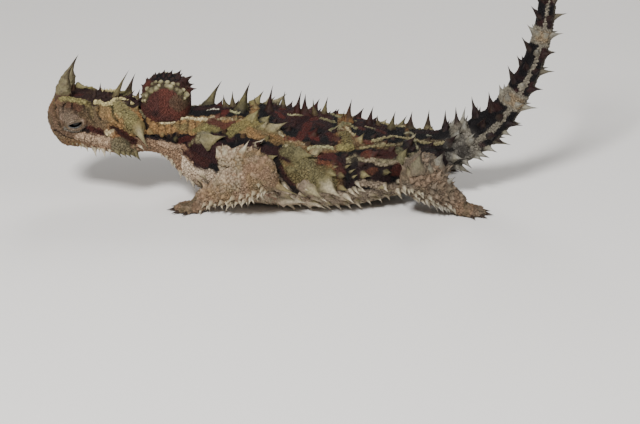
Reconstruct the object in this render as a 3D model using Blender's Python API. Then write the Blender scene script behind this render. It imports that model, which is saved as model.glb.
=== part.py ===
"""Thorny devil, a life-size display model resting on the floor.

The head points to -X and the left flank to -Y, with +Z up. The origin is on the floor, in the middle
of the flat under the belly. The named sizes are in millimetres, the shapes are worked out in
millimetres, and each finished piece is brought to metres.
"""

import math

import bmesh
import bpy
import numpy as np
from mathutils import Matrix, Vector
from mathutils.bvhtree import BVHTree

NAME = "thorny_devil"
MM = 0.001
GAP = 0.3
FACE_GAP = 0.27  # along the body, a little under GAP so that no two faces lie in one plane
FLOOR_CLEAR = 0.35  # lowest that the tip of a spine may come
CORE_SECTIONS = 40  # sections at which a spine is tested against another piece
WAIST_FROM = 3.3  # a spine longer than this is a broad cone with a slender point
WAIST_AT = 0.34  # place of the waist along the spine
WAIST_SIZE = 0.42  # its radius as a share of the root's
CROWDED = 0.62  # nearest that two roots on one piece may come, as a share of their radii
ROOT_SUNK = (0.35, 0.3)  # depth of a spine's root under the skin, and what each mm of its radius adds
SPINE_TAPER = 1.3  # a spine's radius falls as this power of what is left of its length
SIZE_VARIES = 0.12
PLACE_VARIES = 0.3
TURN_VARIES = 2.5
LEAN_VARIES = 6.0
SEED = 11

# Sections of the body, from the snout to the tip of the tail: x, z, half-width, height above the
# centreline and depth below it.
HEAD = [
    (-64.9, 21.2, 5.4, 4.7, 5.7),
    (-61.5, 21.6, 6.9, 5.6, 7.4),
    (-57.0, 21.8, 8.2, 5.8, 8.3),
    (-51.0, 21.4, 9.0, 5.7, 8.5),
    (-45.5, 20.5, 8.6, 5.5, 8.0),
]
NECK = [
    (-41.0, 19.7, 7.4, 4.8, 6.9),
    (-35.5, 18.4, 7.2, 5.2, 6.0),
    (-30.5, 16.9, 9.0, 6.8, 7.4),
]
TORSO = [
    (-26.5, 15.4, 11.2, 8.4, 9.8),
    (-20.0, 13.6, 14.2, 10.0, 11.6),
    (-10.0, 12.2, 16.8, 10.8, 12.3),
    (2.0, 11.2, 18.0, 10.2, 11.6),
    (14.0, 10.5, 17.0, 8.7, 10.8),
    (24.0, 10.5, 13.4, 7.2, 8.8),
    (32.0, 11.0, 9.2, 5.9, 6.6),
]
TAIL = [
    (38.2, 12.6, 6.0, 4.8, 5.0),
    (44.7, 15.6, 4.5, 4.1, 4.2),
    (51.3, 21.0, 3.7, 3.5, 3.5),
    (55.8, 27.4, 3.1, 3.0, 3.0),
    (60.2, 36.8, 2.5, 2.5, 2.5),
    (62.2, 45.4, 2.2, 2.2, 2.2),
    (62.8, 54.6, 2.0, 2.0, 2.0),
    (61.8, 64.0, 1.8, 1.8, 1.8),
    (58.6, 72.6, 1.6, 1.6, 1.6),
    (53.2, 79.2, 1.4, 1.4, 1.4),
    (47.0, 83.4, 1.2, 1.2, 1.2),
]
TAIL_PARTS = (0.34, 0.68)  # where the tail is parted into base, middle and tip
SNOUT_ROUND = 4.6
TAIL_ROUND = 1.3
BODY_POWER = 2.25  # 2 is an ellipse, and more is squarer

# The largest spines of shoulder and flank: x, angle from the middle of the back, length and radius.
BIG_SPINES = [
    (-24.0, 64.0, 5.2, 2.5),
    (-17.0, 16.0, 8.4, 2.1),
    (-7.0, 44.0, 5.4, 2.6),
    (3.0, 84.0, 5.6, 2.5),
    (8.5, 104.0, 6.0, 2.5),
    (12.5, 40.0, 5.6, 2.3),
    (5.0, 124.0, 4.4, 1.7),
]

HUMP_CENTRE = (-34.3, 0.0, 25.8)
HUMP_SIZE = (6.1, 6.6, 6.4)  # half-sizes of the false head on the nape
HUMP_POWER = 2.7  # 2 is an ellipsoid, and more is squarer

EYE_PLACE = (-56.8, 22.2)  # x and z
EYE_RADIUS = 2.0
EYE_PROUD = 1.15  # how far the eyeball's middle lies inside the skin
LID_WALL = 0.5
SLIT_SIZE = (1.75, 1.6, 0.72)  # half-sizes of the opening between the lids
SLIT_TILT = 14.0
NOSTRIL = 0.5  # radius
MOUTH_HEIGHT = 18.9
MOUTH_FALL = 0.11  # fall of the line of the mouth for each millimetre back
MOUTH_TURN = 128.0  # degrees from straight ahead to the corner of the mouth
MOUTH_RADIUS = 0.3

HORN_FROM = (-60.4, 0.0, 22.5)  # middle of the head under the horns
HORN_APART = 0.62  # how far to the side the horns stand, for each millimetre up from there
HORN_SPLAY = 0.16
HORN_RINGS = ((0.0, 1.0), (0.2, 0.82), (0.45, 0.6), (0.72, 0.36))  # share of length, share of radius
HORN_BASE = 2.7
HORN_LENGTH = 7.8
HORN_SWEEP = 0.42  # how far the tip lies back, as a share of the length
BOSS_HEIGHT = 1.0

# The long spine that hangs from each temple: place, angle, length, radius and its slope to the rear.
CHEEK_SPINE = (19.8, 66.0, 7.2, 1.8, 0.3)

# Joints of the limbs: trunk end, middle joint and last joint, then the way that the digits point.
LIMBS = {
    "left_fore": ((-21.0, -7.0, 14.2), (-8.5, -20.0, 12.6), (-24.4, -12.2, 3.4), 186.0),
    "right_fore": ((-21.0, 7.0, 13.6), (-11.5, 20.5, 10.6), (-24.0, 18.0, 3.4), 155.0),
    "left_hind": ((33.0, -5.0, 10.0), (29.5, -17.4, 10.8), (40.0, -14.4, 3.2), 350.0),
    "right_hind": ((32.5, 5.0, 9.6), (25.5, 17.0, 9.2), (36.0, 18.5, 3.2), 35.0),
}
LIMB_NAMES = {
    "left_fore": ("left_upper_arm", "left_forearm", "left_hand"),
    "right_fore": ("right_upper_arm", "right_forearm", "right_hand"),
    "left_hind": ("left_thigh", "left_shin", "left_foot"),
    "right_hind": ("right_thigh", "right_shin", "right_foot"),
}
# Half-width and half-depth at the trunk, half way and at the middle joint, then on to the last joint.
LIMB_SIZES = {
    "fore": ((3.9, 4.8), (3.8, 5.0), (3.2, 4.6), (3.1, 4.7), (2.3, 2.3)),
    "hind": ((4.8, 5.6), (4.6, 5.3), (3.8, 4.7), (3.5, 4.2), (2.5, 2.5)),
}
LIMB_HIDDEN = {"fore": 0.3, "hind": 0.0}  # share of the first length that lies in the trunk
FOOT_MIDDLE = 2.5  # from the last joint to the middle of the foot
FOOT_REACH = (6.5, 6.5, 3.4)  # half-sizes of the room kept round a foot
PALM_LENGTH = 3.6
PALM_SIZE = (3.1, 1.5)
DIGIT_ANGLES = (-62.0, -30.0, -4.0, 24.0, 56.0)
DIGIT_LENGTHS = (2.6, 3.5, 3.9, 3.4, 2.6)
DIGIT_RADIUS = 0.95
CLAW_LENGTH = 2.1
CLAW_RADIUS = 0.55

# Pieces whose own shape trims the roots of the spines of a neighbour.
TRIMMED_BY = {
    "head": ("neck", "nuchal_hump"),
    "neck": ("head", "torso"),
    "nuchal_hump": ("head", "neck", "torso"),
    "torso": ("neck", "tail_base"),
    "tail_base": ("torso", "tail_middle"),
    "tail_middle": ("tail_base", "tail_tip"),
    "tail_tip": ("tail_middle",),
}
for upper_name, lower_name, end_name in LIMB_NAMES.values():
    TRIMMED_BY[upper_name] = ("torso", lower_name)
    TRIMMED_BY[lower_name] = ("torso", upper_name, end_name)

COLOURS = {
    "trunk": (0.36, 0.23, 0.13),
    "limb": (0.45, 0.33, 0.22),
    "tail": (0.25, 0.20, 0.15),
    "horn": (0.42, 0.38, 0.18),
    "eye": (0.02, 0.015, 0.01),
}


def unit(v):
    """The vector at length one."""
    return v / np.linalg.norm(v)


def smooth(knots, values, at):
    """Cubic Hermite curve through the values at the knots, its slopes taken from the neighbours."""
    slopes = np.gradient(values, knots, axis=0)
    i = int(np.clip(np.searchsorted(knots, at, side="right") - 1, 0, len(knots) - 2))
    step = knots[i + 1] - knots[i]
    f = (at - knots[i]) / step
    return (
        values[i] * (2 * f**3 - 3 * f**2 + 1)
        + slopes[i] * step * (f**3 - 2 * f**2 + f)
        + values[i + 1] * (3 * f**2 - 2 * f**3)
        + slopes[i + 1] * step * (f**3 - f**2)
    )


class Line:
    """A centreline with a half-width and upper and lower half-heights, for lofting a limb or the body.

    Sections are x, y, z, half-width, up, down. Angle 0 is the top, and 90 degrees the line's side.
    """

    def __init__(self, sections, side=None, power=2.0, round_start=0.0, round_end=0.0):
        self.table = np.array(sections, float)
        steps = np.linalg.norm(np.diff(self.table[:, :3], axis=0), axis=1)
        self.knots = np.concatenate([[0.0], np.cumsum(steps)])
        self.length = self.knots[-1]
        self.side = None if side is None else np.array(side, float)
        self.power = power
        self.round_start = round_start
        self.round_end = round_end

    def frame(self, s):
        """Centre, direction, side and up at a distance along the line, and the three half-sizes."""
        here = smooth(self.knots, self.table, s)
        ahead = smooth(self.knots, self.table, s + 0.01)[:3]
        along = unit(ahead - here[:3])
        side = unit(np.cross(along, (0, 0, 1))) if self.side is None else self.side
        up = unit(np.cross(side, along))
        return here[:3], along, side, up, here[3:] * self.rounding(s)

    def rounding(self, s):
        """Share of the section's size left where an end is rounded off."""
        share = 1.0
        if self.round_start and s < self.round_start:
            share = math.sqrt(max(0.0, 1 - (1 - s / self.round_start) ** 2))
        left = self.length - s
        if self.round_end and left < self.round_end:
            share *= math.sqrt(max(0.0, 1 - (1 - left / self.round_end) ** 2))
        return share

    def point(self, s, angle, swell=0.0):
        """Point of the skin at a distance along the line and an angle in degrees round it."""
        centre, _, side, up, (width, high, low) = self.frame(s)
        c = math.cos(math.radians(angle))
        q = math.sin(math.radians(angle))
        tall = (high if c > 0 else low) + swell
        c = math.copysign(abs(c) ** (2 / self.power), c)
        q = math.copysign(abs(q) ** (2 / self.power), q)
        return centre + up * c * tall + side * q * (width + swell)

    def root(self, s, angle):
        """Point of the skin, its outward normal and the way towards the line's far end."""
        here = self.point(s, angle)
        lie = unit(self.point(s + 0.05, angle) - here)
        round_it = self.point(s, angle + 1) - self.point(s, angle - 1)
        normal = unit(np.cross(lie, round_it))
        if np.dot(normal, here - self.frame(s)[0]) < 0:
            normal = -normal
        return here, normal, lie

    def inside_test(self, start, end):
        """A test of whether any of some balls comes inside the tube between two places, or nearer than
        the gap to it, worked out at evenly spaced sections."""
        places = np.linspace(start, end, CORE_SECTIONS)
        frames = [self.frame(s) for s in places]
        centre, along, side, up = (np.array([f[k] for f in frames]) for k in range(4))
        width, high, low = np.array([f[4] for f in frames]).T
        step = (end - start) / CORE_SECTIONS

        def test(points, radii):
            room = radii[:, None] + GAP
            offset = points[:, None] - centre
            ahead, across, rise = (np.sum(offset * way, axis=2) for way in (along, side, up))
            tall = np.where(rise > 0, high, low) + room
            inside = (across / (width + room)) ** 2 + (rise / tall) ** 2 < 1
            return bool(np.any(inside & (np.abs(ahead) < step + room)))

        return test


def mesh_object(name, bm):
    """An object holding the shape, with its faces pointing out."""
    bmesh.ops.recalc_face_normals(bm, faces=bm.faces)
    if bm.calc_volume(signed=True) < 0:
        bmesh.ops.reverse_faces(bm, faces=bm.faces)
    mesh = bpy.data.meshes.new(name)
    bm.to_mesh(mesh)
    bm.free()
    return bpy.data.objects.new(name, mesh)


def loft(rings, start_pole=None, end_pole=None):
    """A closed shape through rings of points, each end a flat face or drawn in to a pole."""
    bm = bmesh.new()
    rows = [[bm.verts.new(p) for p in ring] for ring in rings]
    for a, b in zip(rows, rows[1:]):
        for k in range(len(a)):
            n = (k + 1) % len(a)
            bm.faces.new((a[k], a[n], b[n], b[k]))
    for row, pole in ((rows[0], start_pole), (rows[-1], end_pole)):
        if pole is None:
            bm.faces.new(row)
        else:
            tip = bm.verts.new(pole)
            for k in range(len(row)):
                bm.faces.new((row[k], row[(k + 1) % len(row)], tip))
    return mesh_object("piece", bm)


def tube(line, start, end, rings, sides, swell=0.0, relief=None):
    """The line's tube between two places, its rings set closer towards a rounded end."""
    pole_start = line.round_start > 0 and start <= 0
    pole_end = line.round_end > 0 and end >= line.length
    f = np.linspace(0, 1, rings)
    if pole_start and pole_end:
        f = (1 - np.cos(math.pi * f)) / 2
    elif pole_start:
        f = 0.5 * f + 0.5 * (1 - np.cos(math.pi / 2 * f))
    elif pole_end:
        f = 0.5 * f + 0.5 * np.sin(math.pi / 2 * f)
    places = list(start + (end - start) * f)
    first = line.point(0, 0) - line.frame(0)[1] * swell if pole_start else None
    last = line.point(line.length, 0) + line.frame(line.length)[1] * swell if pole_end else None
    if pole_start:
        places = [0.25 * places[1]] + places[1:]
    if pole_end:
        places = places[:-1] + [end - 0.25 * (end - places[-2])]
    made = []
    for s in places:
        ring = []
        for k in range(sides):
            angle = 360 * (k + 0.5) / sides
            extra = swell + (relief(s, angle) if relief else 0.0)
            ring.append(line.point(s, angle, extra))
        made.append(ring)
    return loft(made, first, last)


def ellipsoid(centre, size, segments=16, rings=10, turn=0.0, power=2.0):
    """A UV sphere stretched to three half-sizes, turned about Y in degrees, squarer at a higher power."""
    bm = bmesh.new()
    bmesh.ops.create_uvsphere(bm, u_segments=segments, v_segments=rings, radius=1.0)
    for v in bm.verts:
        v.co /= sum(abs(c) ** power for c in v.co) ** (1 / power)
    place = Matrix.Translation(centre) @ Matrix.Rotation(math.radians(turn), 4, "Y")
    bm.transform(place @ Matrix.Diagonal((*size, 1.0)))
    return mesh_object("piece", bm)


def half_space(point, normal, size=90.0):
    """A large box that fills the side of a plane to which the normal points."""
    bm = bmesh.new()
    bmesh.ops.create_cube(bm, size=size)
    turn = Vector(normal).to_track_quat("Z", "Y").to_matrix().to_4x4()
    place = Matrix.Translation(Vector(point) + Vector(normal) * size / 2)
    bm.transform(place @ turn)
    return mesh_object("piece", bm)


def floor_block():
    """All that lies below the floor."""
    return half_space((0, 0, 0), (0, 0, -1), 300.0)


def combine(core, pieces, operation):
    """One Boolean of the core with all the pieces, applied, and the pieces removed."""
    if not pieces:
        return
    group = bpy.data.collections.new("pieces")
    bpy.context.scene.collection.children.link(group)
    for piece in pieces:
        group.objects.link(piece)
    modifier = core.modifiers.new(operation, "BOOLEAN")
    modifier.operation = operation
    modifier.operand_type = "COLLECTION"
    modifier.collection = group
    modifier.solver = "MANIFOLD"
    graph = bpy.context.evaluated_depsgraph_get()
    graph.update()
    result = bpy.data.meshes.new_from_object(core.evaluated_get(graph))
    core.modifiers.clear()
    core.data = result
    for piece in pieces:
        bpy.data.objects.remove(piece, do_unlink=True)
    bpy.data.collections.remove(group)


def keep_largest(mesh):
    """Drops all but the largest closed surface."""
    bm = bmesh.new()
    bm.from_mesh(mesh)
    left = set(bm.faces)
    shells = []
    while left:
        shell = {left.pop()}
        edge = list(shell)
        while edge:
            face = edge.pop()
            for e in face.edges:
                for other in e.link_faces:
                    if other in left:
                        left.remove(other)
                        shell.add(other)
                        edge.append(other)
        shells.append(shell)
    shells.sort(key=lambda shell: sum(f.calc_area() for f in shell))
    extra = [f for shell in shells[:-1] for f in shell]
    bmesh.ops.delete(bm, geom=extra, context="FACES")
    bmesh.ops.triangulate(bm, faces=bm.faces)
    bm.to_mesh(mesh)
    bm.free()


def ball_test(centre, size):
    """A test of whether any of some balls comes nearer than the gap to an ellipsoid."""
    middle = np.array(centre)

    def test(points, radii):
        room = np.array(size) + (radii + GAP)[:, None]
        return bool(np.any(np.sum(((points - middle) / room) ** 2, axis=1) < 1))

    return test


class Thorns:
    """Every spine placed so far, with the cores that a spine has to stay clear of."""

    def __init__(self):
        self.random = np.random.default_rng(SEED)
        self.cores = {}
        self.placed = []

    def add_core(self, name, test):
        self.cores[name] = test

    def vary(self, by):
        """A small difference, up to the given amount either way."""
        return self.random.uniform(-by, by)

    def is_clear(self, name, points, radii):
        """Whether a spine keeps clear of the floor, other pieces and the spines on them."""
        if np.min(points[:, 2] - 0.3 * radii) < FLOOR_CLEAR:
            return False
        for other, test in self.cores.items():
            if other != name and other not in TRIMMED_BY.get(name, ()) and test(points, radii):
                return False
        for other, spot, size in self.placed:
            if other == name and np.linalg.norm(spot[0] - points[0]) < CROWDED * (size[0] + radii[0]):
                return False
        spots = [spot for other, spot, _ in self.placed if other != name]
        if spots:
            sizes = np.concatenate([size for other, _, size in self.placed if other != name])
            apart = np.linalg.norm(points[:, None] - np.concatenate(spots)[None], axis=2)
            return not np.any(apart < radii[:, None] + sizes[None] + GAP)
        return True

    def grow(self, name, root, length, radius, lean=20.0, bend=0.0, sides=5):
        """A spine on the skin: a broad cone that draws in to a slender point, or None where it is tight."""
        here, normal, lie = root
        lie = unit(lie - normal * np.dot(lie, normal))
        lean = math.radians(lean)
        way = normal * math.cos(lean) + lie * math.sin(lean)
        tip = here + way * length + lie * bend * length
        shares = np.linspace(0.0, 1.0, 6)
        points = here + (tip - here) * shares[:, None]
        radii = radius * (1 - shares) ** SPINE_TAPER
        if not self.is_clear(name, points, radii):
            return None
        self.placed.append((name, points, radii))
        across = unit(np.cross(normal, lie))
        turn = self.random.uniform(0, 2 * math.pi)
        angles = turn + 2 * math.pi * np.arange(sides) / sides
        sunk = here - normal * (ROOT_SUNK[0] + ROOT_SUNK[1] * radius)
        base = [sunk + radius * (lie * math.cos(a) + across * math.sin(a)) for a in angles]
        rings = [base]
        if length > WAIST_FROM:
            waist = here + way * length * WAIST_AT
            level = unit(np.cross(across, way))
            rings.append([waist + WAIST_SIZE * radius * (level * math.cos(a) + across * math.sin(a)) for a in angles])
        return loft(rings, None, tip)

    def row(self, name, line, start, end, angle, count, length, radius, **ways):
        """Spines along a line at an angle, alternately long and short, from one size to another."""
        shift = ways.get("shift", 0.0)
        last = ways.get("last", 1.0)
        short = ways.get("short", 0.78)
        made = []
        for k in range(count):
            f = (k + 0.5 + shift) / count
            size = (1 + (last - 1) * f) * (short if k % 2 else 1.0) * (1 + self.vary(SIZE_VARIES))
            s = start + (end - start) * f + self.vary(PLACE_VARIES)
            a = angle + self.vary(TURN_VARIES)
            lean = ways.get("lean", 18.0) + self.vary(LEAN_VARIES)
            made.append(
                self.grow(
                    name,
                    line.root(min(max(s, 0.05), line.length - 0.05), a),
                    length * size,
                    radius * (0.5 + 0.5 * size),
                    lean=lean,
                    bend=ways.get("bend", 0.06),
                    sides=ways.get("sides", 5),
                )
            )
        return [piece for piece in made if piece]

    def both(self, name, line, start, end, angle, count, length, radius, **ways):
        """The same row on the left and on the right."""
        left = self.row(name, line, start, end, angle, count, length, radius, **ways)
        return left + self.row(name, line, start, end, -angle, count, length, radius, **ways)


def finish(name, core, joined, cut, finish_name, roughness=0.6):
    """Joins and cuts one piece, brings it to metres and gives it its place and material."""
    bpy.context.scene.collection.objects.link(core)
    combine(core, joined, "UNION")
    combine(core, cut, "DIFFERENCE")
    keep_largest(core.data)
    core.data.transform(Matrix.Scale(MM, 4))
    core.name = name
    core.data.name = name
    bpy.context.scene.collection.objects.unlink(core)
    bpy.data.collections[NAME].objects.link(core)
    material = bpy.data.materials.new(name)
    material.use_nodes = True
    shader = material.node_tree.nodes["Principled BSDF"]
    shader.inputs["Base Color"].default_value = (*COLOURS[finish_name], 1.0)
    shader.inputs["Roughness"].default_value = roughness
    core.data.materials.clear()
    core.data.materials.append(material)
    core.data.shade_smooth()
    core.data.set_sharp_from_angle(angle=math.radians(40))
    return core


def body_line():
    """The one centreline of head, neck, torso and tail, and where each length of it ends."""
    rows = [(x, 0.0, z, w, up, low) for x, z, w, up, low in HEAD + NECK + TORSO + TAIL]
    line = Line(rows, (0, -1, 0), BODY_POWER, SNOUT_ROUND, TAIL_ROUND)
    neck = line.knots[len(HEAD)]
    torso = line.knots[len(HEAD) + len(NECK)]
    tail = line.knots[len(HEAD) + len(NECK) + len(TORSO)]
    middle, tip = (tail + share * (line.length - tail) for share in TAIL_PARTS)
    return line, {
        "head": (0.0, neck),
        "neck": (neck, torso),
        "torso": (torso, tail),
        "tail_base": (tail, middle),
        "tail_middle": (middle, tip),
        "tail_tip": (tip, line.length),
    }


def body_cutter(line, span, rings, sides):
    """The shape of one length of the body, larger by the gap all round, for cutting its neighbours."""
    start = span[0] if span[0] <= 0 else span[0] - FACE_GAP
    end = span[1] if span[1] >= line.length else span[1] + FACE_GAP - GAP
    return tube(line, start, end, rings, sides, swell=GAP)


def head_relief(s, angle):
    """Bulges and hollows of the head: brow, cheek, temple and the corner of the jaw."""
    a = abs((angle + 180) % 360 - 180)
    forms = (
        (9.0, 46.0, 3.6, 15.0, 0.9),
        (8.0, 88.0, 3.0, 14.0, -0.5),
        (18.5, 62.0, 4.2, 13.0, 0.9),
        (19.0, 124.0, 3.6, 18.0, 1.5),
        (3.5, 25.0, 2.5, 18.0, 0.3),
        (14.0, 0.0, 6.0, 16.0, -0.5),
    )
    return sum(
        height * math.exp(-(((s - place) / wide) ** 2) - ((a - turn) / spread) ** 2)
        for place, turn, wide, spread, height in forms
    )


def skin_tree(core):
    """A search tree of an object's surface."""
    bm = bmesh.new()
    bm.from_mesh(core.data)
    tree = BVHTree.FromBMesh(bm)
    bm.free()
    return tree


def cast(tree, origin, way):
    """Where a ray from inside leaves the skin, and the normal there."""
    place, normal, _, _ = tree.ray_cast(Vector(origin), Vector(way))
    return np.array(place), np.array(normal)


def eye_centre(tree, side):
    """Middle of the eyeball on one side of the head."""
    x, z = EYE_PLACE
    skin, _ = cast(tree, (x, 0, z), (0, side, 0))
    return np.array((x, skin[1] - side * EYE_PROUD, z))


def mouth_cutter(tree):
    """A thin round bar along the line of the mouth, from one corner round the snout to the other."""
    middle = (-57.0, 0.0)
    path = []
    for turn in np.linspace(-MOUTH_TURN, MOUTH_TURN, 26):
        way = np.array((-math.cos(math.radians(turn)), math.sin(math.radians(turn)), 0.0))
        height = MOUTH_HEIGHT
        for _ in range(3):
            place, _ = cast(tree, (*middle, height), way)
            height = MOUTH_HEIGHT - MOUTH_FALL * (place[0] - HEAD[0][0])
        path.append(place)
    rows = [(*p, MOUTH_RADIUS, MOUTH_RADIUS, MOUTH_RADIUS) for p in path]
    line = Line(rows)
    return tube(line, 0.0, line.length, 26, 4)


def make_horn(name, tree, side):
    """A brow horn as a piece of its own, and the boss on the brow that it stands on."""
    skin, normal = cast(tree, HORN_FROM, unit(np.array((0.0, side * HORN_APART, 1.0))))
    way = unit(np.array((0.05, side * HORN_SPLAY, 1.0)))
    across = unit(np.cross(way, (1.0, 0, 0)))
    level = np.cross(across, way)
    angles = 2 * math.pi * np.arange(9) / 9

    def ring(centre, radius, tilt=0.0):
        lean = level * math.cos(tilt) + way * math.sin(tilt)
        return [centre + radius * (lean * math.cos(a) + across * math.sin(a)) for a in angles]

    top = skin + way * BOSS_HEIGHT
    boss = loft([ring(skin - way * 1.6, HORN_BASE * 1.3), ring(top, HORN_BASE)])
    foot = top + way * GAP
    rings = []
    for f, size in HORN_RINGS:
        back = np.array((HORN_SWEEP * HORN_LENGTH * f**1.8, 0, 0))
        rings.append(ring(foot + way * HORN_LENGTH * f + back, HORN_BASE * size * 0.98, -0.25 * f))
    tip = foot + way * HORN_LENGTH + np.array((HORN_SWEEP * HORN_LENGTH, 0, 0))
    return finish(name, loft(rings, None, tip), [], [], "horn", 0.45), boss, skin


def make_head(line, span, thorns):
    """The head, with lids, line of the mouth, nostrils, jaw fringe and temple spines."""
    core = tube(line, span[0], span[1] - GAP, 20, 26, relief=head_relief)
    tree = skin_tree(core)
    joined = []
    cut = [mouth_cutter(tree)]
    horns = []
    for side, label in ((-1, "left"), (1, "right")):
        eye = eye_centre(tree, side)
        lid = EYE_RADIUS + GAP + LID_WALL
        joined.append(ellipsoid(eye, (lid * 1.12, lid, lid), 12, 8))
        cut.append(ellipsoid(eye, (EYE_RADIUS + GAP,) * 3, 10, 7))
        slit = eye + np.array((-0.1, side * lid, -0.15))
        cut.append(ellipsoid(slit, SLIT_SIZE, 10, 6, SLIT_TILT))
        nostril, _ = cast(tree, (-61.0, 0, 23.5), unit(np.array((-1.0, side * 0.55, 0.42))))
        cut.append(ellipsoid(nostril, (NOSTRIL, NOSTRIL * 1.3, NOSTRIL * 1.2), 8, 6))
        finish(f"{label}_eye", ellipsoid(eye, (EYE_RADIUS,) * 3, 14, 9), [], [], "eye", 0.1)
        horn, boss, foot = make_horn(f"{label}_brow_horn", tree, side)
        joined.append(boss)
        horns.append((label, foot))
    for label, foot in horns:
        centre = np.array(foot)
        up = np.array((HORN_SWEEP, 0.0, 1.0))
        spots = centre + up * np.linspace(0.5, HORN_LENGTH, 8)[:, None]
        sizes = np.linspace(HORN_BASE, 0.4, 8)
        thorns.placed.append((f"{label}_brow_horn", spots, sizes))
    joined += head_spines(line, thorns)
    return core, joined, cut


def head_spines(line, thorns):
    """The long spine of each temple, then rows of spines on the head."""
    made = []
    place, angle, length, radius, slope = CHEEK_SPINE
    for side in (1, -1):
        here, normal, lie = line.root(place, side * angle)
        fall = lie * slope - np.array((0.0, 0.0, 1.0))
        made.append(thorns.grow("head", (here, normal, fall), length, radius, lean=58, bend=-0.05))
    made += thorns.both("head", line, 14.8, 20.0, 27, 2, 7.2, 1.4, lean=4, short=0.92, bend=0.14)
    made += thorns.both("head", line, 18.5, 24.0, 40, 2, 3.2, 1.1, lean=8)
    made += thorns.both("head", line, 9.5, 12.5, 34, 1, 3.6, 1.3, lean=38, bend=-0.1)
    made += thorns.both("head", line, 11.5, 15.0, 22, 2, 2.4, 0.9, lean=4)
    made += thorns.both("head", line, 2.2, 6.0, 30, 2, 2.0, 0.9, lean=-10)
    made += thorns.both("head", line, 15.0, 24.0, 70, 4, 2.6, 1.1, lean=35, short=1.0)
    made += thorns.both("head", line, 17.5, 25.0, 124, 4, 2.7, 1.0, lean=30)
    made += thorns.both("head", line, 3.0, 17.0, 136, 6, 1.8, 0.75, lean=20, sides=4)
    made += thorns.both("head", line, 12.5, 17.0, 94, 2, 1.7, 0.9, lean=25, sides=4)
    made += thorns.both("head", line, 10.5, 23.0, 9, 3, 1.8, 0.9, lean=15, sides=4)
    made += thorns.both("head", line, 3.0, 5.2, 74, 1, 1.3, 0.8, lean=0, sides=4)
    return [piece for piece in made if piece]


def torso_spines(line, span, thorns):
    """The largest spines of shoulder and flank, then rows from the back down to the edge of the belly."""
    start, end = span
    made = []
    for x, angle, length, radius in BIG_SPINES:
        s = start + (x - TORSO[0][0]) / (TAIL[0][0] - TORSO[0][0]) * (end - start)
        for side in (1, -1):
            made.append(thorns.grow("torso", line.root(s, side * angle), length, radius, lean=22, bend=0.12))
    rows = (
        (13.0, 13, 7.6, 1.9, 14.0, 0.70, 0.74, 5),
        (35.0, 9, 5.6, 2.1, 16.0, 0.75, 0.70, 4),
        (57.0, 9, 4.6, 1.9, 20.0, 0.85, 0.70, 4),
        (78.0, 8, 5.2, 2.1, 18.0, 0.90, 0.68, 5),
        (99.0, 8, 4.4, 1.8, 26.0, 0.90, 0.72, 4),
        (118.0, 8, 3.3, 1.2, 38.0, 0.90, 0.80, 4),
        (134.0, 6, 2.4, 1.0, 45.0, 0.90, 0.80, 4),
    )
    for angle, count, length, radius, lean, last, short, sides in rows:
        made += thorns.both(
            "torso", line, start + 0.6, end - 1.0, angle, count, length, radius,
            lean=lean, last=last, short=short, sides=sides,
        )
    for angle, count, length, radius in ((24.0, 8, 2.3, 1.1), (67.0, 7, 2.1, 1.0)):
        made += thorns.both(
            "torso", line, start + 2.0, end - 2.0, angle, count, length, radius,
            lean=20, shift=0.3, sides=4,
        )
    made += thorns.row("torso", line, start + 2, end - 2, 0, 8, 1.6, 0.9, lean=20, sides=4)
    return [piece for piece in made if piece]


def neck_spines(line, span, thorns):
    """Spines on the sides and the throat of the neck."""
    start, end = span
    made = []
    rows = ((62.0, 3, 2.8, 1.2, 20.0), (84.0, 3, 3.4, 1.4, 25.0), (106.0, 3, 2.4, 1.0, 30.0))
    for angle, count, length, radius, lean in rows:
        made += thorns.both(
            "neck", line, start + 0.8, end - 0.8, angle, count, length, radius, lean=lean, sides=4
        )
    made += thorns.both("neck", line, start + 5, end - 0.5, 132, 3, 2.6, 0.9, lean=20, sides=4)
    made += thorns.both("neck", line, start + 6, end - 0.5, 155, 2, 2.4, 0.9, lean=15, sides=4)
    return made


def tail_spines(name, line, span, thorns, base):
    """Whorls of spines, with each whorl turned by half a step from the one before it."""
    start, end = span
    made = []
    s = start + 1.4
    turn = 0
    while s < end - 1.0:
        left = (line.length - s) / (line.length - base)
        length = 1.7 + 2.9 * left**0.9
        radius = 0.62 + 0.95 * left
        whorl = 7 if left > 0.5 else 5
        for k in range(whorl):
            angle = 360 * (k + 0.5 * (turn % 2)) / whorl + thorns.vary(TURN_VARIES)
            tall = length * (1.0 if (k + turn) % 2 else 0.72) * (1 + thorns.vary(SIZE_VARIES))
            piece = thorns.grow(
                name, line.root(s, angle), tall, radius, lean=26, bend=0.05, sides=4
            )
            if piece:
                made.append(piece)
        s += 3.7 + 1.6 * left
        turn += 1
    return made


def make_hump(thorns):
    """Core and spines of the false head on the nape."""
    core = ellipsoid(HUMP_CENTRE, HUMP_SIZE, 18, 11, power=HUMP_POWER)
    tree = skin_tree(core)
    made = []

    def spine(way, length, radius, lean, sides=4):
        here, normal = cast(tree, HUMP_CENTRE, unit(np.array(way, float)))
        back = np.array((1.0, 0.0, -0.35))
        made.append(
            thorns.grow("nuchal_hump", (here, normal, back), length, radius, lean=lean, sides=sides)
        )

    for k in range(7):
        turn = math.radians(-54 + 18 * k)
        spine((math.sin(turn), 0.12 * (-1) ** k, math.cos(turn)), 1.5 + 0.22 * k, 1.1, 4)
    for side in (-1, 1):
        for k in range(4):
            turn = math.radians(-50 + 30 * k)
            spine((math.sin(turn), side * 0.6, 0.9 * math.cos(turn)), 1.7, 1.15, 8)
        spine((0.62, side * 0.42, 0.8), 3.0, 1.4, 4)
        for k in range(3):
            turn = math.radians(-45 + 42 * k)
            spine((math.sin(turn), side * 1.25, 0.45 * math.cos(turn)), 1.1, 0.8, 12)
    return core, [piece for piece in made if piece]


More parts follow.
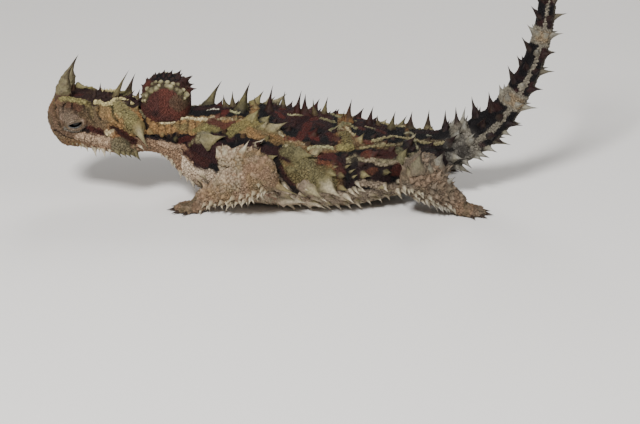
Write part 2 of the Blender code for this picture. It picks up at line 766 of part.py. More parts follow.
def limb_lines(joints, sizes):
    """Centrelines of the two long lengths of a limb, each rounded past its joints."""
    a, b, c = (np.array(p, float) for p in joints)
    first = unit(b - a)
    second = unit(c - b)
    (w0, d0), (w1, d1), (w2, d2), (w3, d3), (w4, d4) = sizes
    upper = Line(
        [(*a, w0, d0, d0), (*((a + b) / 2), w1, d1, d1), (*b, w2, d2, d2), (*(b + first * w2), w2, d2, d2)],
        round_end=w2,
    )
    lower = Line(
        [
            (*(b - second * w2), w2 * 0.98, d2 * 0.98, d2 * 0.98),
            (*b, w2 * 0.98, d2 * 0.98, d2 * 0.98),
            (*(b + (c - b) * 0.45), w3, d3, d3),
            (*c, w4, d4, d4),
            (*(c + second * w4), w4, d4, d4),
        ],
        round_start=w2,
    )
    return upper, lower, (a, b, c), (first, second)


def outward(line, s, side):
    """1 where the line's own side points away from the body, and -1 where it points in."""
    return 1 if line.frame(s)[2][1] * side > 0 else -1


def limb_spines(name, line, start, end, side, thorns, hind):
    """Rows of spines on the upper, outer and lower faces of one length of a limb."""
    way = outward(line, (start + end) / 2, side)
    size = 1.12 if hind else 1.0
    rows = (
        (5.0, 2, 3.0, 1.15, 14.0),
        (38.0, 4, 3.6, 1.35, 16.0),
        (72.0, 3, 2.9, 1.25, 20.0),
        (104.0, 3, 2.4, 1.05, 24.0),
        (138.0, 3, 2.1, 0.85, 26.0),
    )
    made = []
    for k, (angle, count, length, radius, lean) in enumerate(rows):
        made += thorns.row(
            name, line, start, end, way * angle, count, length * size, radius,
            lean=lean, sides=4, shift=0.25 * (-1) ** k,
        )
    return made


def make_foot(joints, thick, toward):
    """Palm or sole, five digits and their claws, flat on the floor."""
    wrist = np.array(joints[2], float)
    turn = math.radians(toward)
    ahead = np.array((math.cos(turn), math.sin(turn), 0.0))
    wide, tall = PALM_SIZE
    middle = wrist + ahead * PALM_LENGTH * 0.55
    front = wrist + ahead * PALM_LENGTH
    back = wrist - ahead * thick * 0.8
    palm = Line(
        [
            (*back, thick * 0.9, thick * 0.9, thick * 0.9),
            (*wrist[:2], wrist[2] * 0.85, thick * 1.05, thick, thick),
            (*middle[:2], tall, wide, tall, tall + 0.35),
            (*front[:2], tall * 0.8, wide * 0.9, tall * 0.75, tall + 0.35),
            (*(front + ahead * 0.9)[:2], tall * 0.7, wide * 0.8, tall * 0.6, tall),
        ],
        round_end=1.2,
    )
    core = tube(palm, 0.0, palm.length, 6, 12)
    joined = []
    for angle, length in zip(DIGIT_ANGLES, DIGIT_LENGTHS):
        bearing = turn + math.radians(angle)
        way = np.array((math.cos(bearing), math.sin(bearing), 0.0))
        root = front + way * wide * 0.35 - ahead * 0.9
        knuckle = root + way * length * 0.55
        end = root + way * length
        r = DIGIT_RADIUS
        digit = Line(
            [
                (*root[:2], r * 0.95, r * 1.05, r, r),
                (*knuckle[:2], r * 0.98, r, r, r),
                (*end[:2], r * 0.8, r * 0.8, r * 0.8, r * 0.85),
            ],
            round_end=r * 0.8,
        )
        joined.append(tube(digit, 0.0, digit.length, 3, 6))
        joined.append(claw(end - way * 0.7, way))
    return core, joined


def claw(root, way):
    """A curved claw that ends just above the floor."""
    across = np.array((-way[1], way[0], 0.0))
    up = np.array((0.0, 0.0, 1.0))
    rings = []
    for share, size, height in ((0.0, 1.0, 0.78), (0.55, 0.72, 0.82)):
        centre = np.array((*(root + way * CLAW_LENGTH * share)[:2], height))
        radius = CLAW_RADIUS * size
        rings.append(
            [centre + radius * (across * math.cos(a) + up * math.sin(a)) for a in np.radians((0, 90, 180, 270))]
        )
    tip = np.array((*(root + way * (CLAW_LENGTH + 0.5))[:2], 0.3))
    return loft(rings, None, tip)


def bend_plane(joint, first, second):
    """The plane that parts two lengths of a limb at a joint, halving the angle between them."""
    return joint, unit(first + second)


def limb_cores(thorns):
    """Centrelines of the four limbs, each also told to the spines as a core to keep clear of."""
    limbs = {}
    for key, (a, b, c, toward) in LIMBS.items():
        kind = key.split("_")[1]
        upper, lower, joints, ways = limb_lines((a, b, c), LIMB_SIZES[kind])
        limbs[key] = (upper, lower, joints, ways, LIMB_SIZES[kind][-1][0], toward)
        names = LIMB_NAMES[key]
        last = joints[2]
        thorns.add_core(names[0], upper.inside_test(LIMB_HIDDEN[kind] * upper.length, upper.length))
        thorns.add_core(names[1], lower.inside_test(0.0, lower.length))
        foot_way = np.array((math.cos(math.radians(toward)), math.sin(math.radians(toward)), 0))
        centre = last + foot_way * FOOT_MIDDLE
        thorns.add_core(names[2], ball_test((centre[0], centre[1], 1.0), FOOT_REACH))
    return limbs


def build():
    """The whole animal."""
    for old in list(bpy.data.objects):
        bpy.data.objects.remove(old, do_unlink=True)
    bpy.context.scene.collection.children.link(bpy.data.collections.new(NAME))

    body, spans = body_line()
    thorns = Thorns()
    for name, (start, end) in spans.items():
        thorns.add_core(name, body.inside_test(start, end))
    reach = np.array(HUMP_SIZE) + GAP
    thorns.add_core("nuchal_hump", ball_test(HUMP_CENTRE, HUMP_SIZE))
    limbs = limb_cores(thorns)

    head, joined, cut = make_head(body, spans["head"], thorns)
    cut += [body_cutter(body, spans["neck"], 8, 28), ellipsoid(HUMP_CENTRE, reach, 22, 14, power=HUMP_POWER)]
    finish("head", head, joined, cut, "trunk")

    hump, spines = make_hump(thorns)
    cut = [body_cutter(body, spans[name], rings, 28) for name, rings in (("head", 18), ("neck", 8), ("torso", 12))]
    finish("nuchal_hump", hump, spines, cut, "trunk")

    neck = tube(body, spans["neck"][0], spans["neck"][1] - GAP, 7, 24)
    spines = neck_spines(body, spans["neck"], thorns)
    cut = [body_cutter(body, spans["head"], 18, 28), body_cutter(body, spans["torso"], 12, 28)]
    finish("neck", neck, spines, cut, "trunk")

    torso = tube(body, spans["torso"][0], spans["torso"][1] - GAP, 16, 28)
    spines = torso_spines(body, spans["torso"], thorns)
    cut = [body_cutter(body, spans["neck"], 8, 28), body_cutter(body, spans["tail_base"], 8, 22), floor_block()]
    finish("torso", torso, spines, cut, "trunk")

    lengths = ("torso", "tail_base", "tail_middle", "tail_tip")
    for k, name in enumerate(lengths[1:], 1):
        start, end = spans[name]
        core = tube(body, start, end if name == "tail_tip" else end - GAP, 8, 11)
        spines = tail_spines(name, body, spans[name], thorns, spans["tail_base"][0])
        cut = [body_cutter(body, spans[lengths[k - 1]], 12, 22)]
        if k + 1 < len(lengths):
            cut.append(body_cutter(body, spans[lengths[k + 1]], 8, 22))
        finish(name, core, spines, cut, "tail")

    for key, (upper, lower, joints, ways, thick, toward) in limbs.items():
        side = 1 if joints[1][1] > 0 else -1
        hind = key.endswith("hind")
        names = LIMB_NAMES[key]
        plane, normal = bend_plane(joints[1], *ways)
        turn = math.radians(toward)
        foot_way = np.array((math.cos(turn), math.sin(turn), 0.0))
        last, last_normal = bend_plane(joints[2], ways[1], foot_way)
        core = tube(upper, 0.0, upper.length, 7, 12)
        spines = limb_spines(names[0], upper, upper.length * 0.3, upper.length * 0.9, side, thorns, hind)
        cut = [half_space(plane - normal * GAP / 2, normal), body_cutter(body, spans["torso"], 18, 34)]
        cut += [body_cutter(body, spans["neck"], 8, 28), body_cutter(body, spans["tail_base"], 8, 22)]
        finish(names[0], core, spines, cut, "limb")

        core = tube(lower, 0.0, lower.length, 7, 12)
        spines = limb_spines(names[1], lower, lower.length * 0.16, lower.length * 0.82, side, thorns, hind)
        cut = [half_space(plane + normal * GAP / 2, -normal), half_space(last - last_normal * GAP / 2, last_normal)]
        cut += [body_cutter(body, spans["torso"], 18, 34), floor_block()]
        finish(names[1], core, spines, cut, "limb")

        core, digits = make_foot(joints, thick, toward)
        cut = [half_space(last + last_normal * GAP / 2, -last_normal), floor_block()]
        cut.append(body_cutter(body, spans["torso"], 18, 34))
        finish(names[2], core, digits, cut, "limb")


build()
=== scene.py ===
"""A life-size thorny devil, resting on its belly with folded legs and its tail raised over its back.

The head points to -X, the left flank to -Y, and +Z is up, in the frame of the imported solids. Shapes are
worked out in millimetres, as functions of a place along a line of flesh and an angle round it, and are
brought to metres as each mesh is filled.
"""

import math

import bpy
import numpy as np
from mathutils import Matrix, Vector
from mathutils.bvhtree import BVHTree


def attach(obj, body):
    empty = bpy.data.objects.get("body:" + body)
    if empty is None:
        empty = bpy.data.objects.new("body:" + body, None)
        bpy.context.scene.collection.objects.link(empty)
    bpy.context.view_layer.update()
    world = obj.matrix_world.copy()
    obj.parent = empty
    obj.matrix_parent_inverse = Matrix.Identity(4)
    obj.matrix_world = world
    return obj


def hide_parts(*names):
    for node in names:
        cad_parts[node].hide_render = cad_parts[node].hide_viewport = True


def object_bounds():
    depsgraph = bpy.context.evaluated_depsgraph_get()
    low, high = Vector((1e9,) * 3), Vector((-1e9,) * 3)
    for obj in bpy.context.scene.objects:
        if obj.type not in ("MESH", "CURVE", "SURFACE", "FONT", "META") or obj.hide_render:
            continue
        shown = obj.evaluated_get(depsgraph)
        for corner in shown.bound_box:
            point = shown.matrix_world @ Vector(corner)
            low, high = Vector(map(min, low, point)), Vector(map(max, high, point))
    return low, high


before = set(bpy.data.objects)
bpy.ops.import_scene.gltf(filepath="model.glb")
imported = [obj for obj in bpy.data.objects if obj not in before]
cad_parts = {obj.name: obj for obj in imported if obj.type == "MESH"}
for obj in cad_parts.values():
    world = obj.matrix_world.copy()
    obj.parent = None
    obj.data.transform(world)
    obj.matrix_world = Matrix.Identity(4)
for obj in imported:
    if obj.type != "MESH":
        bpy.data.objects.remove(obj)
cad_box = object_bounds()
MM = 0.001

# The camera looks across the left flank and 20 degrees down, from 450 mm, at the photograph's scale. A pixel
# of the photograph stands for a straight line of sight, which meets the hide at one place.
WIDE, TALL = 640, 424
PIXELS_PER_MM = 3.8
AIM_X, AIM_UP = 5.3, -4.5
ELEVATION = math.radians(20.0)
DISTANCE = 450.0
SENSOR = 36.0
FORWARD = np.array((0, math.cos(ELEVATION), -math.sin(ELEVATION)))
RISE = np.array((0, math.sin(ELEVATION), math.cos(ELEVATION)))
CAMERA_AT = np.array((AIM_X, 0, 0)) + RISE * AIM_UP - FORWARD * DISTANCE
view = bpy.data.cameras.new("camera")
view.lens = SENSOR * DISTANCE / (WIDE / PIXELS_PER_MM)
view.clip_start = 0.01
camera = bpy.data.objects.new("camera", view)
bpy.context.scene.collection.objects.link(camera)
camera.matrix_world = Matrix.Translation(Vector(CAMERA_AT * MM)) @ Matrix(
    ((1, 0, 0), (0, RISE[1], -FORWARD[1]), (0, RISE[2], -FORWARD[2]))
).to_4x4()
bpy.context.scene.camera = camera


def sight(pixel):
    """The way from the camera through a pixel: forward, and across and down the image plane."""
    across = (pixel[0] - WIDE / 2) / PIXELS_PER_MM
    up = (TALL / 2 - pixel[1]) / PIXELS_PER_MM
    return FORWARD * DISTANCE + np.array((across, 0, 0)) + RISE * up


# The flesh of the trunk: one line from the blunt snout through neck, barrel-shaped body and raised tail.
# Each section gives x, y, z, half-width, height above the line and depth below it, in millimetres.
TRUNK = np.array([
    (-64.9, 0, 21.2, 5.4, 4.7, 5.7), (-61.5, 0, 21.6, 6.9, 5.6, 7.1), (-57.0, 0, 21.8, 8.2, 5.8, 7.5),
    (-51.0, 0, 21.4, 9.0, 5.7, 7.7), (-45.5, 0, 20.5, 8.6, 5.5, 7.6), (-41.0, 0, 19.7, 7.4, 4.8, 6.9),
    (-35.5, 0, 18.4, 7.2, 5.2, 6.0), (-30.5, 0, 16.9, 9.0, 6.8, 7.4), (-26.5, 0, 15.4, 11.2, 8.4, 9.8),
    (-20.0, 0, 13.6, 14.2, 10.0, 11.6), (-10.0, 0, 12.2, 16.8, 10.8, 12.3),
    (2.0, 0, 11.2, 18.0, 10.2, 11.6), (14.0, 0, 10.5, 17.0, 8.7, 10.8),
    (24.0, 0, 10.5, 13.4, 7.2, 8.8), (32.0, 0, 11.0, 9.2, 5.9, 6.6),
    (38.2, 0, 12.6, 6.0, 4.8, 5.0), (44.7, 0, 15.6, 4.5, 4.1, 4.2), (51.3, 0, 21.0, 3.7, 3.5, 3.5),
    (55.8, 0, 27.4, 3.1, 3.0, 3.0), (60.2, 0, 36.8, 2.5, 2.5, 2.5), (62.2, 0, 45.4, 2.2, 2.2, 2.2),
    (62.8, 0, 54.6, 2.0, 2.0, 2.0), (61.8, 0, 64.0, 1.8, 1.8, 1.8), (58.6, 0, 72.6, 1.6, 1.6, 1.6),
    (53.2, 0, 79.2, 1.4, 1.4, 1.4), (47.0, 0, 83.4, 1.2, 1.2, 1.2),
])
HEAD_SECTIONS = 5
NECK_SECTIONS = 3
TAIL_SECTIONS = 11


def unit(vectors):
    """Each vector divided by its own length."""
    return vectors / np.linalg.norm(vectors, axis=-1, keepdims=True)


def curve(knots, values, at):
    """Cubic Hermite curve through the values at the knots, its slopes taken from the knots on both sides."""
    slopes = np.gradient(values, knots, axis=0)
    i = np.clip(np.searchsorted(knots, at, side="right") - 1, 0, len(knots) - 2)
    step = (knots[i + 1] - knots[i])[:, None]
    f = (at - knots[i])[:, None] / step
    return (
        values[i] * (2 * f**3 - 3 * f**2 + 1)
        + slopes[i] * step * (f**3 - 2 * f**2 + f)
        + values[i + 1] * (3 * f**2 - 2 * f**3)
        + slopes[i + 1] * step * (f**3 - f**2)
    )


def round_grid(steps, sides, full=2 * math.pi):
    """For each point of a grid of rings: the step that its ring stands at, and its angle round the ring."""
    grid = np.meshgrid(steps, np.linspace(0, full, sides, endpoint=False), indexing="ij")
    return (v.ravel() for v in grid)


def sheet(rings, sides):
    """Triangles of a grid of rings, joined round and open at both ends."""
    j, k = np.meshgrid(np.arange(rings - 1), np.arange(sides), indexing="ij")
    a, b = j * sides + k, j * sides + (k + 1) % sides
    return np.stack([a, b, b + sides, a, b + sides, a + sides], axis=-1).reshape(-1, 3)


def closed_grid(points, rings, sides):
    """The points with the triangles of a grid of rings, each end ring filled by a fan of triangles."""
    fan = np.stack([np.zeros(sides - 2, int), np.arange(2, sides), np.arange(1, sides - 1)], axis=-1)
    return points, np.concatenate([sheet(rings, sides), fan, fan[:, ::-1] + (rings - 1) * sides])


def globe(rings, sides, pole=0.0):
    """Points of a sphere of radius 1, as rings that start and end at some angle from its poles."""
    tilt, turn = round_grid(np.linspace(pole, math.pi - pole, rings), sides)
    return np.stack([np.sin(tilt) * np.cos(turn), np.sin(tilt) * np.sin(turn), np.cos(tilt)], axis=-1)


class Flesh:
    """A rounded length of flesh: oval sections carried along a line, an end closed where it is rounded."""

    def __init__(self, sections, side=None, power=2.0, round_start=0.0, round_end=0.0):
        self.table = np.array(sections, float)
        steps = np.linalg.norm(np.diff(self.table[:, :3], axis=0), axis=1)
        self.knots = np.concatenate([[0.0], np.cumsum(steps)])
        self.length = self.knots[-1]
        self.side = side
        self.power = power
        self.round_start = round_start
        self.round_end = round_end

    def sections(self, at):
        """Centre, direction, side, up and half-sizes, these times sqrt(1 - (1 - s/r)^2) in a rounded end."""
        here = curve(self.knots, self.table, at)
        way = unit(curve(self.knots, self.table, at + 0.01)[:, :3] - here[:, :3])
        if self.side is None:
            side = unit(np.cross(way, (0.0, 0.0, 1.0)))
        else:
            side = np.tile(self.side, (len(at), 1))
        share = np.ones(len(at))
        if self.round_start:
            share *= np.sqrt(1 - (1 - np.clip(at / self.round_start, 0, 1)) ** 2)
        if self.round_end:
            share *= np.sqrt(1 - (1 - np.clip((self.length - at) / self.round_end, 0, 1)) ** 2)
        return here[:, :3], way, side, unit(np.cross(side, way)), here[:, 3:] * share[:, None]

    def skin(self, at, turn, swell=0.0):
        """Centre + up·c·height + side·q·width, with c and q the angle's cosine and sine to the power 2/p."""
        centre, _, side, up, size = self.sections(at)
        width, high, low = size.T
        c = np.cos(np.radians(turn))
        q = np.sin(np.radians(turn))
        tall = np.where(c > 0, high, low) + swell
        c = np.sign(c) * np.abs(c) ** (2 / self.power)
        q = np.sign(q) * np.abs(q) ** (2 / self.power)
        return centre + up * (c * tall)[:, None] + side * (q * (width + swell))[:, None]

    def roots(self, at, turn):
        """Points of the skin, the normals there and the ways along it towards the far end."""
        here = self.skin(at, turn)
        lie = unit(self.skin(at + 0.05, turn) - here)
        normal = unit(np.cross(lie, self.skin(at, turn + 1) - self.skin(at, turn - 1)))
        flip = np.sum(normal * (here - self.sections(at)[0]), axis=1) < 0
        return here, np.where(flip[:, None], -normal, normal), lie

    def grid(self, rings, sides, swell=None):
        """The closed skin as points and triangles of a grid of rings, closer in its rounded ends."""
        at = np.linspace(0, self.length, rings)
        first = self.round_start * (1 - np.cos(np.linspace(0, 1.2, 8)))[:-1]
        last = self.length - self.round_end * np.linspace(0, 1, 7) ** 2
        at = np.unique(np.concatenate([first, at[at > self.round_start * 0.6], last]))
        s, turn = round_grid(at, sides, 360)
        points = self.skin(s, turn, swell(s, turn) if swell else 0.0)
        return closed_grid(points, len(at), sides)

    def nearest(self, points, samples=220):
        """For some points: the place along the line, the angle round it, and how many of the flesh's own
        half-sizes the point lies from the line (1 on the skin, more beyond an end)."""
        at = np.linspace(0, self.length, samples)
        centre, way, side, up, size = self.sections(at)
        place = np.empty(len(points), int)
        for part in np.array_split(np.arange(len(points)), max(1, len(points) // 20000)):
            place[part] = np.argmin(np.sum(centre**2, axis=1) - 2 * points[part] @ centre.T, axis=1)
        away = points - centre[place]
        ahead, across, rise = (np.sum(away * v[place], axis=1) for v in (way, side, up))
        width, high, low = np.maximum(size[place], 0.3).T
        across = across / width
        rise = rise / np.where(rise > 0, high, low)
        beyond = np.where((place == 0) & (ahead < 0) | (place == samples - 1) & (ahead > 0), ahead, 0.0)
        reach = np.sqrt(across**2 + rise**2 + (beyond / width) ** 2)
        return at[place] + ahead, np.degrees(np.arctan2(across, rise)), reach


def joined(parts):
    """Several lots of points and faces as one, each lot's face numbers moved on by the points before it."""
    starts = np.cumsum([0] + [len(points) for points, _ in parts[:-1]])
    return np.concatenate([p for p, _ in parts]), np.concatenate([f + n for (_, f), n in zip(parts, starts)])


# Bulges and hollows of the head: place along it in mm, angle round it, half-length, spread in degrees and
# height.
BROW = (9.0, 46.0, 3.6, 15.0, 0.9)
TEMPLE = (18.5, 62.0, 4.2, 13.0, 0.9)
JAW_CORNER = (19.0, 124.0, 3.6, 18.0, 1.5)
LORE = (8.0, 88.0, 3.0, 14.0, -0.5)
SNOUT = (3.5, 25.0, 2.5, 18.0, 0.3)
CROWN = (14.0, 0.0, 6.0, 16.0, -0.5)
HORN_BOSS = (4.9, 34.0, 2.2, 14.0, 1.3)


def head_relief(s, turn):
    """Sum of bell-shaped bulges and hollows: height·exp(-(ds/length)^2 - (dangle/spread)^2)."""
    a = np.abs((turn + 180) % 360 - 180)
    return sum(
        height * np.exp(-(((s - place) / wide) ** 2) - ((a - angle) / spread) ** 2)
        for place, angle, wide, spread, height in (BROW, TEMPLE, JAW_CORNER, LORE, SNOUT, CROWN, HORN_BOSS)
    )


trunk = Flesh(TRUNK, side=(0.0, -1.0, 0.0), power=2.25, round_start=4.6, round_end=1.3)
NECK_AT = trunk.knots[HEAD_SECTIONS]
TORSO_AT = trunk.knots[HEAD_SECTIONS + NECK_SECTIONS]
TAIL_AT = trunk.knots[-TAIL_SECTIONS]

# The false head on the nape: a rounded, fleshy hump that it shows to an enemy when it tucks in its own head.
HUMP_CENTRE = np.array((-34.3, 0.0, 25.8))
HUMP_SIZE = np.array((6.1, 6.6, 6.4))
HUMP_POWER = 2.7


def power_size(spots):
    """The size of each vector of three, (|x|^p + |y|^p + |z|^p)^(1/p), with the hump's power as p."""
    return (np.abs(spots) ** HUMP_POWER).sum(axis=1, keepdims=True) ** (1 / HUMP_POWER)


def hump_grid(rings, sides):
    """Sphere points divided by their power size, then stretched to the three half-sizes."""
    ball = globe(rings, sides)
    points, faces = closed_grid(HUMP_CENTRE + ball / power_size(ball) * HUMP_SIZE, rings, sides)
    return points, faces[:, ::-1]


# The legs: each is folded, with upper and lower lengths, a flat palm or sole and five short digits. A row
# gives three joints, from the trunk to the elbow or knee and the wrist or ankle, and the digits' bearing.
LEGS = {
    "left_fore": ((-21.0, -7.0, 14.2), (-8.5, -20.0, 12.6), (-24.4, -12.2, 3.4), 186.0),
    "right_fore": ((-21.0, 7.0, 13.6), (-11.5, 20.5, 10.6), (-24.0, 18.0, 3.4), 155.0),
    "left_hind": ((33.0, -5.0, 10.0), (29.5, -17.4, 10.8), (40.0, -14.4, 3.2), 350.0),
    "right_hind": ((32.5, 5.0, 9.6), (25.5, 17.0, 9.2), (36.0, 18.5, 3.2), 35.0),
}
LEG_SIZES = {
    "fore": ((3.9, 4.8), (3.7, 4.9), (2.9, 4.4), (3.0, 4.6), (2.3, 2.3)),
    "hind": ((4.8, 5.6), (4.6, 5.3), (3.8, 4.7), (3.5, 4.2), (2.5, 2.5)),
}
PALM_LENGTH = 3.6
PALM_WIDE, PALM_TALL = 3.1, 1.5
DIGIT_ANGLES = (-62.0, -30.0, -4.0, 24.0, 56.0)
DIGIT_LENGTHS = (2.6, 3.5, 3.9, 3.4, 2.6)
DIGIT_RADIUS = 0.95


def leg_flesh(name):
    """The lengths of one leg as flesh: upper, lower, palm, then the digits with their ends and bearings."""
    *joints, toward = LEGS[name]
    a, b, c = (np.array(p, float) for p in joints)
    first, second = unit(b - a), unit(c - b)
    (w0, d0), (w1, d1), (w2, d2), (w3, d3), (w4, d4) = LEG_SIZES[name.split("_")[1]]
    upper = Flesh([(*a, w0, d0, d0), (*((a + b) / 2), w1, d1, d1), (*b, w2, d2, d2),
                   (*(b + first * w2), w2, d2, d2)], round_end=w2)
    lower = Flesh([(*(b - second * w2), w2, d2, d2), (*b, w2, d2, d2), (*(b + (c - b) * 0.45), w3, d3, d3),
                   (*c, w4, d4, d4), (*(c + second * w4), w4, d4, d4)], round_start=w2, round_end=w4)
    ahead = np.array((math.cos(math.radians(toward)), math.sin(math.radians(toward)), 0.0))
    middle, front = c + ahead * PALM_LENGTH * 0.55, c + ahead * PALM_LENGTH
    tip = front + ahead * 0.9
    palm = Flesh([
        (*(c - ahead * w4 * 0.8), w4 * 0.9, w4 * 0.9, w4 * 0.9), (*c[:2], c[2] * 0.85, w4 * 1.05, w4, w4),
        (*middle[:2], PALM_TALL, PALM_WIDE, PALM_TALL, PALM_TALL),
        (*front[:2], PALM_TALL * 0.8, PALM_WIDE * 0.9, PALM_TALL * 0.75, PALM_TALL * 0.8),
        (*tip[:2], PALM_TALL * 0.7, PALM_WIDE * 0.8, PALM_TALL * 0.6, PALM_TALL * 0.7),
    ], round_start=w4 * 0.6, round_end=1.2)
    digits = []
    for angle, length in zip(DIGIT_ANGLES, DIGIT_LENGTHS):
        bearing = math.radians(toward + angle)
        way = np.array((math.cos(bearing), math.sin(bearing), 0.0))
        root = front + way * PALM_WIDE * 0.35 - ahead * 0.9
        r = DIGIT_RADIUS
        knuckle, end = root + way * length * 0.55, root + way * length
        flesh = Flesh([
            (*root[:2], r, r * 1.05, r, r), (*knuckle[:2], r * 1.15, r, r, r),
            (*end[:2], r * 0.82, r * 0.8, r * 0.8, r * 0.8),
        ], round_start=r * 0.5, round_end=r * 0.8)
        digits.append((flesh, end, way))
    return {"upper": upper, "lower": lower, "palm": palm, "digits": digits}


legs = {name: leg_flesh(name) for name in LEGS}

# The skin: one soft, leathery hide over head, trunk, hump, legs and toes, with no seam. The lengths of
# flesh are melted into one closed surface, smoothed where they meet, then creased along its folds.
VOXEL = 0.32
SMOOTHING = 8


def put(name, points, faces):
    """A new object in the scene, with a mesh of these points and faces."""
    mesh = bpy.data.meshes.new(name)
    mesh.from_pydata(points, [], faces)
    piece = bpy.data.objects.new(name, mesh)
    bpy.context.scene.collection.objects.link(piece)
    return piece, mesh


def melted(parts, voxel):
    """One closed surface round several that overlap, as points, triangles and edges, by a voxel remesh."""
    shape, mesh = put("melt", *joined(parts))
    remesh = shape.modifiers.new("melt", "REMESH")
    remesh.mode = "VOXEL"
    remesh.voxel_size = voxel
    graph = bpy.context.evaluated_depsgraph_get()
    solid = shape.evaluated_get(graph).to_mesh()
    solid.calc_loop_triangles()
    points = np.empty(len(solid.vertices) * 3)
    solid.vertices.foreach_get("co", points)
    faces = np.empty(len(solid.loop_triangles) * 3, int)
    solid.loop_triangles.foreach_get("vertices", faces)
    edges = np.empty(len(solid.edges) * 2, int)
    solid.edges.foreach_get("vertices", edges)
    bpy.data.objects.remove(shape)
    bpy.data.meshes.remove(mesh)
    return points.reshape(-1, 3), faces.reshape(-1, 3), edges.reshape(-1, 2)


def around(edges, count, values):
    """Sum over each point's neighbours of a value."""
    total = np.bincount(edges[:, 0], values[edges[:, 1]], count)
    return total + np.bincount(edges[:, 1], values[edges[:, 0]], count)


def smoothed(points, edges, times, share=0.5):
    """Each point moved part of the way to the mean of its neighbours, several times."""
    count = around(edges, len(points), np.ones(len(points)))
    for _ in range(times):
        mean = np.stack([around(edges, len(points), points[:, k]) / count for k in range(3)], axis=-1)
        points = points + share * (mean - points)
    return points


def normals_of(points, faces):
    """Each point's normal: the sum of the area normals of the triangles that meet there, at length one."""
    a, b, c = (points[faces[:, k]] for k in range(3))
    area = np.cross(b - a, c - a)
    total = np.zeros_like(points)
    for k in range(3):
        for axis in range(3):
            total[:, axis] += np.bincount(faces[:, k], area[:, axis], len(points))
    return unit(total)


parts = [trunk.grid(300, 72, head_relief), hump_grid(24, 36)]
for leg in legs.values():
    parts += [leg["upper"].grid(24, 32), leg["lower"].grid(24, 32), leg["palm"].grid(16, 24)]
    parts += [digit.grid(10, 14) for digit, _, _ in leg["digits"]]
skin_points, skin_faces, skin_edges = melted(parts, VOXEL)
skin_points = smoothed(skin_points, skin_edges, SMOOTHING)
skin_normals = normals_of(skin_points, skin_faces)

# Where each point of the hide lies on the animal: how far along and round its own length of flesh. Limbs
# take points a little beyond their edge, all round the elbow too, but the upper side of the hip and the flat
# of the shoulder count as flank, as its markings run over them.
BODY, HUMP, FORE, HIND, FOOT = range(5)
HUMP_FOOT = HUMP_CENTRE[2] - 4
LIMB_REACH = 32.0
LIMB_PULL = 0.86
HIP_SHARE = 0.58
HIP_UNDERSIDE = 6.0
SHOULDER_TURN = 66.0
ELBOW_REACH = 8.0
BODY_EDGE = 1.06
DIGIT_REACH = 6.5
DIGIT_TOP = 4.5
LEG_STEPS = 3


def body_map(points):
    """For each point the flesh that it lies least outside, the place along it and the angle round it. On a
    leg the place counts 0 to 1 along the upper part, 1 to 2 along the lower and 2 to 3 along the foot."""
    s, turn, reach = trunk.nearest(points)
    kind = np.full(len(points), BODY)
    owner = np.zeros(len(points), int)
    round_hump = power_size((points - HUMP_CENTRE) / HUMP_SIZE)[:, 0]
    on_hump = (round_hump < reach) & (points[:, 2] > HUMP_FOOT)
    kind[on_hump] = HUMP
    reach = np.where(on_hump, round_hump, reach)
    for number, (name, leg) in enumerate(legs.items()):
        from_elbow = np.linalg.norm(points - np.array(LEGS[name][1]), axis=1)
        near = np.flatnonzero(from_elbow < LIMB_REACH)
        for step, part in enumerate(("upper", "lower", "palm")):
            flesh = leg[part]
            at, angle, far = flesh.nearest(points[near], 40)
            closer = far * LIMB_PULL < reach[near]
            if part == "upper" and "hind" in name:
                closer &= (at > HIP_SHARE * flesh.length) | (points[near, 2] < HIP_UNDERSIDE)
            elif part == "upper":
                closer &= (reach[near] > BODY_EDGE) | (np.abs(turn[near]) > SHOULDER_TURN)
            elif part == "lower" and "fore" in name:
                closer |= (from_elbow[near] < ELBOW_REACH) & (reach[near] > BODY_EDGE)
            chosen = near[closer]
            reach[chosen] = far[closer] * LIMB_PULL
            kind[chosen] = FOOT if part == "palm" else FORE if "fore" in name else HIND
            s[chosen] = np.clip(at / flesh.length, 0, 0.999)[closer] + step
            owner[chosen] = number
            turn[chosen] = angle[closer]
        from_palm = np.linalg.norm(points - leg["palm"].table[-1, :3], axis=1)
        on_digit = (kind == BODY) & (from_palm < DIGIT_REACH) & (points[:, 2] < DIGIT_TOP)
        kind[on_digit], owner[on_digit], s[on_digit] = FOOT, number, LEG_STEPS - 0.01
    return {"s": s, "turn": turn, "kind": kind, "owner": owner}


LATTICE_SIZE = 32
LATTICE = np.random.default_rng(5).random((LATTICE_SIZE,) * 3)


def mottle(points, size, layers=2):
    """Value noise, 0 to 1: random values at the corners of cubes of a size in mm, eased between with
    3t² - 2t³, each further layer half the size and half the weight."""
    total = 0.0
    for k in range(layers):
        p = points / size * 2**k + 11.3 * (k + 1)
        i = np.floor(p).astype(int)
        f = p - i
        f = f * f * (3 - 2 * f)
        value = 0.0
        for corner in np.ndindex(2, 2, 2):
            weight = np.prod(np.where(corner, f, 1 - f), axis=1)
            value = value + weight * LATTICE[tuple(((i + corner) % LATTICE_SIZE).T)]
        total = total + value / 2**k
    return total / sum(2.0**-k for k in range(layers))


def ease(values, low, high):
    """0 below low, 1 above high, and 3t² - 2t³ between."""
    t = np.clip((values - low) / (high - low), 0, 1)
    return t * t * (3 - 2 * t)


def paint(code):
    """An sRGB hex colour as linear light: ((c + 0.055) / 1.055)^2.4, or c / 12.92 when dark."""
    c = np.array([int(code[k:k + 2], 16) / 255 for k in (0, 2, 4)])
    return np.where(c > 0.04045, ((c + 0.055) / 1.055) ** 2.4, c / 12.92)


def plain(points, code):
    """One colour for all the points."""
    return np.tile(paint(code), (len(points), 1))


def lay(colours, *layers):
    """The colours with others laid over them in turn, each as thickly as its weight says."""
    for weight, code in layers:
        colours = colours + (paint(code) - colours) * weight[:, None]
    return colours


def bell(values, middle, wide):
    """exp(-((v - middle) / wide)^2): 1 at the middle, falling off on both sides."""
    return np.exp(-(((values - middle) / wide) ** 2))


